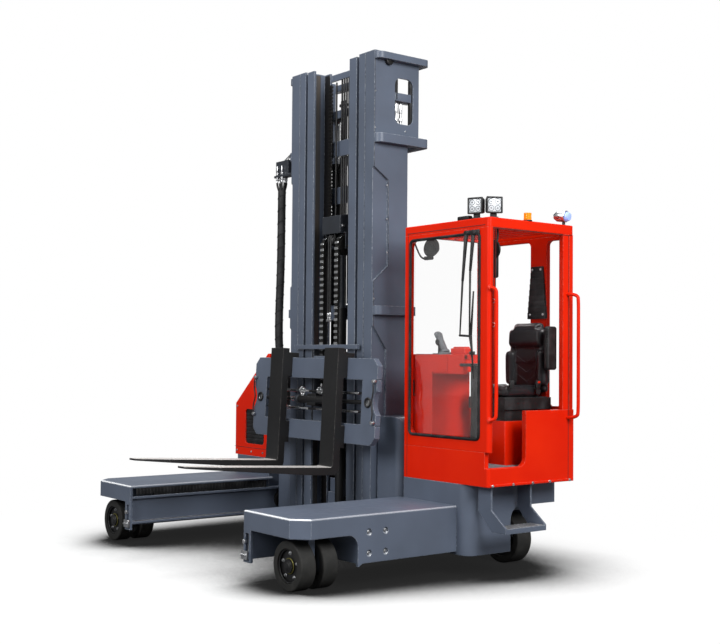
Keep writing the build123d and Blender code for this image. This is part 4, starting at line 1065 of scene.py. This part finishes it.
    def trim(self) -> None:
        """Fit the armrest's ribs, the belt with its buckles and the suspension's bellows."""
        front, rear, left, top = self.front, self.rear, self.left, self.top
        ribs, belt = self.new("armrest_ribs", Look.PLASTIC), self.new("seat_belt", Look.PLASTIC)
        for rise in range(300, 440, 20):
            ribs.tube([(rear + x, left + y, top + rise) for x, y in ((48, 15), (54, 37), (48, 59))], 5)
        belt.box((rear + 60, left - 14, top + 4), (rear + 110, left + 6, top + 12), 3)
        belt.box((rear + 70, left - 4, top - 70), (rear + 112, left + 3, top + 10), 2)
        for x in (front - 60, rear + 96):
            belt.box((x - 20, left - 10, top - 28), (x + 24, left + 14, top + 34), 6)
        button = self.new("belt_button", Look.RED)
        button.box((rear + 84, left + 12, top + 12), (rear + 108, left + 17, top + 28), 2)
        bellows = self.new("suspension_bellows", Look.SEAL)
        for z in range(1246, 1342, 24):
            bellows.box((rear - 52, self.right + 36, z), (front - 26, left - 36, z + 18), 8)
        bellows.bolt((front - 24, 1640, 1200), (1, 0, 0), 26)

    def build(self) -> None:
        """Make the seat."""
        self.cushion()
        self.stitching(self.back())
        self.trim()


@dataclass
class Mast(Trim):
    """Trim of the mast: plug welds, boss, worn bands, crosshead pins, chain pins, pulley and hoses."""

    body: str = "mast_frame"
    front: float = -1410.0
    half: float = 608.0
    head: float = 2700.0

    def plate_details(self) -> None:
        """Fit the plug bolts, the seam's shadow line and the half-round boss on the outer uprights' plates."""
        steel, boss = self.new("mast_bolts", Look.ZINC), self.new("mast_bosses", Look.BLACK)
        seam = self.new("mast_seams", Look.SEAL)
        spots = ((-1420, 3841), (-1420, 3535), (-1420, 3485), (-1741, 3538), (-1553, 3067), (-1553, 2784),
                 (-1553, 2505), (-1420, 2116), (-1420, 2034))
        line = ((0, 4170), (0, 3212), (150, 3112), (155, 2394), (0, 2261), (0, 1894), (136, 1700))
        for side in SIDES:
            face = side * self.half
            for x, z in spots:
                steel.bolt((x, face - side, z), (0, side, 0), 10)
            boss.rod((-1552, face, 4112), (-1552, face + side * 30, 4112), 78, 5, 32)
            boss.rod((-1552, face + side * 30, 4112), (-1552, face + side * 36, 4112), 30, 2)
            rows = [(self.front - 4 - back, side * (self.half - 1), z) for back, z in line]
            for start, end in zip(rows, rows[1:]):
                seam.rod(start, end, 5, 0, 8)

    def worn_bands(self) -> None:
        """Lay the rubbed and greased bands where the rollers run on the inner stage."""
        band = self.new("inner_worn_band", Look.WORN, "inner_stage")
        grease = self.new("flange_grease", Look.GREASE, "inner_stage")
        for side in SIDES:
            band.block((-1501, side * 342, 2230), (39, 0.6, 1930), 0.4, 1)
            grease.block((-1585.125, side * 301, 2230), (0.275, 39, 1930), 0.2, 1)

    def window_fittings(self) -> None:
        """Fit the black blocks painted as shade on the plate's inner edge, the pipe bracket and the fittings behind
        each window at the top.
        """
        edge_shade, bar = self.new("window_edge_shades", Look.SEAL), self.new("window_brackets", Look.GREY)
        steel = self.new("window_pipes", Look.ZINC)
        for side in SIDES:
            # These black blocks are painted shade, where the plate's thickness lies in shadow inside the window.
            edge_shade.block((-1823, side * 578.5, 3790), (23, 18.5, 200), 14, 3)
            edge_shade.block((-1657, side * 578.5, 3895), (17, 18.5, 105), 12, 3)
            bar.block((-1743, side * 548.5, 3827), (103, 48.5, 35), 4)
            for x in (-1690, -1738):
                for top, low, across, rim in ((3794, 3700, 30, 6), (3704, 3540, 20, 24), (3660, 3628, 32, 6)):
                    steel.rod((x, side * 545, top), (x, side * 545, low), across, 3 if rim == 6 else 2, rim)

    def crosshead(self) -> None:
        """Fit the crosshead's cap screws, the brass ended sheave pin and the hose pulley."""
        pin, steel = [self.new(name, look, "chain_head") for name, look in
                      (("sheave_pin_ends", Look.BRASS), ("crosshead_bolts", Look.ZINC))]
        for side in SIDES:
            pin.rod((-1498, side * 145, self.head - 110), (-1498, side * 149, self.head - 110), 26, 2)
            for x in (-1450, -1520):
                steel.bolt((x, side * 130, self.head + 60), (0, side, 0), 20)
        pulley, x, z = self.new("hose_pulley", Look.BLACK, "chain_head"), -1445, self.head - 62
        for y, half, across, rim, sides in ((0, 28, 56, 1, 36), (-28, 2, 82, 1, 36), (0, 2, 82, 1, 36),
                                            (28, 2, 82, 1, 36), (0, 38, 18, 2, 24)):
            pulley.rod((x, y - half, z), (x, y + half, z), across, rim, sides)
        for y in (-36, 36):
            pulley.box((x - 14, y - 3, z - 14), (x + 14, y + 3, self.head + 2), 2)

    def chains(self) -> None:
        """Put the polished plate faces and the anchors on the lift chains, and the rear chains and hoses up."""
        glint = self.new("chain_plate_faces", Look.CHROME, "chain_head")
        anchor = self.new("chain_anchors", Look.ZINC, "chain_head")
        level, pitch, wrap = self.head - 110, 51, 100
        for y in (-105.0, 105.0):
            for i in range(int((level - 1400) // pitch)):
                z = level - pitch * (i + 0.5)
                glint.box((-1399, y - 24, z - 11), (-1396.5, y + 24, z + 11), 0.8, 1)
            for i in range(6):
                turn = 30 * (i + 0.5)
                spot = (-1498 + wrap * cos(radians(turn)), y, level + wrap * sin(radians(turn)))
                glint.block(spot, (1.4, 24, 9), 0.8, 1, -turn, "Y")
            anchor.rod((-1408, y, 1352), (-1408, y, 1402), 18, 1, 16).bolt((-1408, y, 1352), (0, 0, -1), 30)
        comb = self.new("rear_lift_chains", Look.CHAIN, "inner_stage")
        for y in (-227, 227):
            comb.block((-1571, y, 3080), (4, 17, 980), 1, 1)
            for z in range(2110, 4062, 32):
                comb.box((-1579, y - 27, z), (-1564, y + 27, z + 18), 1.5, 1)
        line = self.new("stage_hoses", Look.HOSE, "inner_stage")
        for y in (-145, 145):
            line.rod((-1574, y, 2100), (-1574, y, 4070), 16, 2, 16)
        for y in (-118, -84, -50, -16, 50, 84, 118):
            for low, high in ((2100, 3412), (3555, 4098)):
                line.rod((-1615, y, low), (-1615, y, high), 18, 2, 16)

    def hoses(self) -> None:
        """Lead the two lift hoses over the crosshead's pulley, with their fittings and clamp."""
        top, ends = self.head - 62, self.new("lift_hose_fittings", Look.ZINC, "chain_head")
        for name, y in (("right", -14.0), ("left", 14.0)):
            points = [(-1482, y, 2120), (-1482, y, 2400), (-1482, y, top - 20), (-1482, y, top + 44),
                      (-1408, y, top + 44), (-1408, y, top - 20), (-1406, y, 2300), (-1406, y, 2012)]
            self.shop.hose("lift_hose_" + name, points, 17, "chain_head", "taut")
            ends.rod((-1406, y, 2014), (-1406, y, 1976), 21, 2, 6).rod((-1406, y, 1980), (-1406, y, 1950), 14, 2)
        ends.box((-1414, -34, 1936), (-1398, 34, 1958), 3)

    def rear_lift(self) -> None:
        """Stand the two rear lift cylinders and their pipes behind the ties, up to the middle stage."""
        barrel, pipe = self.new("rear_lift_barrels", Look.BLACK), self.new("rear_lift_pipes", Look.HOSE)
        rod = self.new("rear_lift_rods", Look.CHROME, "mid_stage")
        bracket = self.new("rear_lift_brackets", Look.DARK, "mid_stage")
        for side in SIDES:
            x, y = -1722.0, side * 330.0
            barrel.rod((x, y, 300), (x, y, 3330), 92, 4, 32).rod((x, y, 3322), (x, y, 3378), 108, 6, 32)
            barrel.box((x - 60, y - 60, 284), (x + 58, y + 60, 330), 6)
            for z in (1050, 3010):
                barrel.box((-1672, y - 56, z), (x + 10, y + 56, z + 120), 6)
            rod.rod((x, y, 330), (x, y, 3790), 56, 2, 28)
            bracket.box((-1772, y - 70, 3770), (-1646, y + 70, 3832), 8).rod((x, y, 3828), (x, y, 3858), 66, 3, 6)
            for step in (80, 112, 144):
                pipe.rod((x + 10, y - side * step, 420), (x + 10, y - side * step, 3940), 24, 3, 16)
            for z in (800, 1700, 2600, 3886):
                pipe.block((x + 11, y - side * 111, z + 13), (19, 49, 13), 4)
            pipe.block((-1701, y - side * 90, 3302), (11, 70, 16), 5)

    def bundle(self) -> None:
        """Hang the wrapped hose bundle under its bracket, with its binding, fanned hoses, fittings and pipes."""
        top, low = 3190.0, 1150.0
        points = [(-1450, -820, top), (-1450, -822, top - 260), (-1454, -832, 2430), (-1446, -850, 1880),
                  (-1470, -852, 1570), (-1560, -800, low + 190), (-1560, -800, low)]
        line = bent(points, 0)
        route = [(vert.co - place(0, 0, 0)) / MM for vert in line.vertices]
        bpy.data.meshes.remove(line)
        self.shop.close()
        self.new("hose_binding", Look.SEAL).tube(self.helix(route, 36.5, 118.0), 9)
        fan, clamp = self.new("hose_bundle_fan", Look.HOSE), self.new("hose_bundle_clamp", Look.ZINC)
        clamp.rod((-1560, -800, low + 2), (-1560, -800, low + 36), 84, 3, 32)
        spots = ((-1478, -866), (-1450, -858), (-1424, -862), (-1478, -790), (-1450, -782), (-1424, -786))
        for x, y in spots:
            fan.tube([(x, y, 3240), (x, y, 3205), (-1450 + (x + 1450) * 0.5, -820 + (y + 820) * 0.45, 3150)], 19)
        extras = self.shop.close()
        self.shop.hose("hose_bundle_sleeve", points, 74, self.body, "hanging", "stiff", Look.SLEEVE,
                       ["hose_bundle"], extras)
        steel = self.new("hose_bundle_fittings", Look.ZINC)
        for x, y in spots:
            steel.rod((x, y, 3292), (x, y, 3258), 25, 2, 6).rod((x, y, 3262), (x, y, 3232), 18, 2)
            steel.rod((x, y, 3308), (x, y, 3336), 25, 2, 6).rod((x, y, 3334), (x, y, 3396), 15, 2)
        for x, y, rise in ((-1478, -790, 3560), (-1450, -782, 3520)):
            steel.tube([(x, y, 3390), (x, y, 3440), (x, y + 20, 3450), (x, -612, rise)], 11)

    @staticmethod
    def helix(route: Sequence[Vector], radius: float, pitch: float) -> list[Point]:
        """Wind a line round a route.

        Args:
            route: Points along the route.
            radius: Radius of the winding.
            pitch: Advance of one turn.

        Returns:
            Points of the winding.
        """
        wound: list[Point] = []
        gone = 0.0
        for start, end in zip(route, route[1:]):
            way = end - start
            side = way.cross(Vector((1, 0, 0))).normalized()
            other = way.cross(side).normalized()
            steps = max(1, round(way.length / 8))
            for i in range(steps):
                angle = 2 * pi * (gone + way.length * i / steps) / pitch
                wound.append(tuple(start + way * i / steps + (side * cos(angle) + other * sin(angle)) * radius))
            gone += way.length
        return wound

    def build(self) -> None:
        """Make all of the mast's trim."""
        for step in (self.plate_details, self.worn_bands, self.window_fittings, self.crosshead, self.chains,
                     self.hoses, self.rear_lift, self.bundle):
            step()


@dataclass
class Carriage(Trim):
    """Trim of the fork carriage: eye bushes, positioner rods, fittings and short hoses."""

    body: str = "fork_frame"
    x: float = -1199.0
    z: float = 800.0
    lean: float = 3.0

    def at(self, ahead: float, y: float, up: float) -> Point:
        """Turn lengths ahead of the leaning plates' face, to the left and up along it into truck millimetres."""
        turn = radians(self.lean)
        return (self.x + ahead * cos(turn) - up * sin(turn), y, self.z + ahead * sin(turn) + up * cos(turn))

    def bushes(self) -> None:
        """Press the bushes and pins into the carriage's eyes and bolt the corner fittings on."""
        at, facing = self.at, Vector(self.at(1, 0, 0)) - Vector(self.at(0, 0, 0))
        bush, sleeve = self.new("eye_bushes", Look.BLACK), self.new("eye_sleeves", Look.CHROME)
        steel = self.new("carriage_fittings", Look.ZINC)
        for side in SIDES:
            y = side * 790
            bush.ring(at(3, y, 470), facing, 70, 17).ring(at(-53, y, 470), facing, 70, 17)
            sleeve.ring(at(-6, y, 470), facing, 60, 6)
            steel.rod(at(-44, y, 470), at(-4, y, 470), 54, 4, 24)
            for up in (640, 310):
                steel.rod(at(-2, side * 872, up), at(30, side * 872, up), 30, 3, 6)
                steel.rod(at(14, side * 850, up + 4), at(14, side * 893, up + 4), 22, 3)

    def positioner(self) -> None:
        """Fit the positioner's chromed rod ends, gland nuts, guide collars and ring fittings."""
        rods, glands = self.new("positioner_rods", Look.CHROME), self.new("positioner_glands", Look.DARK)
        for side in SIDES:
            across = [(rods, 232, 320, 470, 40, 2), (glands, 196, 236, 470, 80, 6, 32)]
            for up in (392, 542):
                across += [(rods, 60, 640, up, 23, 1), (glands, 196, 216, up, 38, 3)]
            for piece, near, far, up, *rest in across:
                piece.rod(self.at(-25, side * near, up), self.at(-25, side * far, up), *rest)
            for y in (side * 150, side * 176):
                rods.rod(self.at(-25, y, 500), self.at(-25, y, 526), 22, 2, 6)
            eye = self.at(2, side * 128, 548)
            rods.ring(eye, (0.2, 1, 0), 52, 8).ring(eye, (1, 0.2, 0), 30, 7)

    def hoses(self) -> None:
        """Lead the short hoses down the end plates' edges and to the positioner."""
        edge = (22, 872, 622), (22, 884, 560), (18, 850, 470), (22, 884, 385), (22, 872, 330)
        across = (-25, 150, 520), (-25, 150, 560), (-32, 190, 588), (-40, 260, 560), (-46, 300, 520)
        for side, end in ((-1, "right"), (1, "left")):
            for name, line, thick, lay in (("edge", edge, 12, "hanging"), ("positioner", across, 13, "loose")):
                points = [self.at(ahead, side * y, up) for ahead, y, up in line]
                self.shop.hose(f"{name}_hose_{end}", points, thick, self.body, lay)

    def build(self) -> None:
        """Make the carriage's trim."""
        self.bushes()
        self.positioner()
        self.hoses()


@dataclass
class Wheels(Trim):
    """Faces of the wheels: rims, hub caps and wheel bolts on each wheel body."""

    def face(self, name: str, middle: Point, half: float, ways: Sequence[int], bore: float, cap: float) -> None:
        """Fit the faces of one wheel body.

        Args:
            name: The wheel's name.
            middle: Where its axle crosses the plane between its faces, or its only face.
            half: Distance of the faces from there.
            ways: For each face, 1 where it looks forward and -1 where it looks back.
            bore: Diameter of the tyre's bore.
            cap: Diameter of the hub cap.
        """
        steel, rim, ring = [self.new(name + end, look, name + "_wheel") for end, look in
                            (("_wheel_bolts", Look.ZINC), ("_rims", Look.BLACK), ("_hub_rings", Look.RIM))]
        radius = (bore + cap) / 4 + 4
        for way in ways:
            ahead = Vector((way, 0, 0))
            seat = Vector(middle) + ahead * half
            rim.ring(seat + ahead * 12, (1, 0, 0), bore - 12, 12, 48)
            rim.rod(seat, seat + ahead * 24, cap, 6, 36, cap * 0.8)
            rim.rod(seat + ahead * 22, seat + ahead * 27, cap * 0.5, 2, 28)
            ring.ring(seat + ahead * 8, (1, 0, 0), cap + 10, 8, 44)
            for i in range(5):
                turn = 2 * pi * i / 5 + 0.3
                steel.bolt(seat + radius * Vector((0, cos(turn), sin(turn))), ahead, 19)

    def build(self) -> None:
        """Make the faces of all the wheels."""
        for side, end in ((1, "left"), (-1, "right")):
            self.face("front_" + end, (-224, side * 1376, 177.5), 130.5, SIDES, 245, 96)
            self.face("rear_" + end, (-2138.5, side * 1397, 200), 0, (1,), 290, 120)


@dataclass
class Chassis(Trim):
    """Trim of the arms, the rear body and the hood: bolts, stop blocks, rail wear, chain links and seams."""

    def arms(self) -> None:
        """Fit the arms' side bolts, the stop blocks at the legs, the rails' wear and the guide chain's links."""
        steel, block = self.new("arm_bolts", Look.ZINC), self.new("stop_blocks", Look.ZINC)
        strip, links = self.new("rail_wear", Look.WORN), self.new("guide_chain_links", Look.PLASTIC)
        for side in SIDES:
            for x, z in ((-610, 250), (-610, 398), (-760, 250), (-760, 398)):
                steel.bolt((x, side * 1594, z), (0, side, 0), 19, 7)
            y = side * 948
            block.box((1, y - 40, 172), (22, y + 40, 236), 4).rod((1, y, 300), (26, y, 300), 34, 3, 6)
            for step in (-24, 0, 24):
                block.bolt((22, y + step, 204), (1, 0, 0), 17)
            strip.block((-1030, side * 936, 220.2), (990, 22, 0.4), 0.3, 1)
        links.box((-1180, -921, 452), (-60, -917, 508), 1)
        for x in range(-64, -1184, -32):
            links.box((x - 20, -918, 442), (x, -913, 512), 2)

    def hood(self) -> None:
        """Fit the hood's side seams and its bolts."""
        seam, steel = self.new("hood_seams", Look.SEAL), self.new("hood_bolts", Look.ZINC)
        for x in (-1760, -2060):
            seam.box((x - 2, -1605, 720), (x + 2, -1602, 1170), 0.4, 1)
        seam.box((-1451.5, -1600, 760), (-1449, -1016, 764), 0.4, 1)
        for y, z in ((-1560, 725), (-1300, 725), (-1100, 725), (-1560, 1150), (-1250, 1400)):
            steel.bolt((-1450, y, z), (1, 0, 0), 15)

    def build(self) -> None:
        """Make all of the chassis's trim."""
        self.arms()
        self.hood()


WHEELS = ("front_left", "front_right", "rear_left", "rear_right")
NODES = {
    Look.DECK: ("arm_left", "arm_right"),
    Look.GREY: ("reach_rails", "rear_frame", "battery_lid", "cab_step", "reach_carriage", "outer_mast", "mast_ribs",
                "mast_ties", "mid_mast", "inner_mast", "fork_carriage", "lifter_bars", *[w + "_leg" for w in WHEELS]),
    Look.DARK: ("crosshead", "lift_carriage", "hose_bracket"),
    Look.RED: ("hood", "cab_tub", "cab_frame", "cab_rear_wall", "cab_roof", "roof_bars", "grab_handles", "console"),
    Look.FORK: ("fork_left", "fork_right"),
    Look.BLACK: ("free_lift_cylinder", "fork_positioner", *[w + "_hub" for w in WHEELS]),
    Look.CHAIN: ("lift_chains", "chain_sheaves", "reach_rollers"),
    Look.PLASTIC: ("battery", "energy_chain", "hood_vent", "armrest", "seat_base", "roof_lamps", "control_lever",
                   "steering_column", "steering_wheel"),
    Look.SLEEVE: ("hose_bundle",),
    Look.VINYL: ("seat_cushion", "seat_back"),
    Look.GLASS: ("front_glass",),
    Look.BEACON: ("beacon",),
    Look.TYRE: [w + "_tyre" for w in WHEELS],
}


def main() -> None:
    """Build the studio, dress the truck and add its trim, reporting each piece."""
    logging.basicConfig(level=logging.INFO, format="%(name)s: %(message)s")
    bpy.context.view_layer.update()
    Studio().build()
    shop = Workshop()
    for look, names in NODES.items():
        for name in names:
            shop.dress(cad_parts[name].data, look)
    for part in (Cab(shop), Seat(shop), Mast(shop), Carriage(shop), Wheels(shop), Chassis(shop)):
        part.build()
        shop.close()


if __name__ == "__main__":
    main()
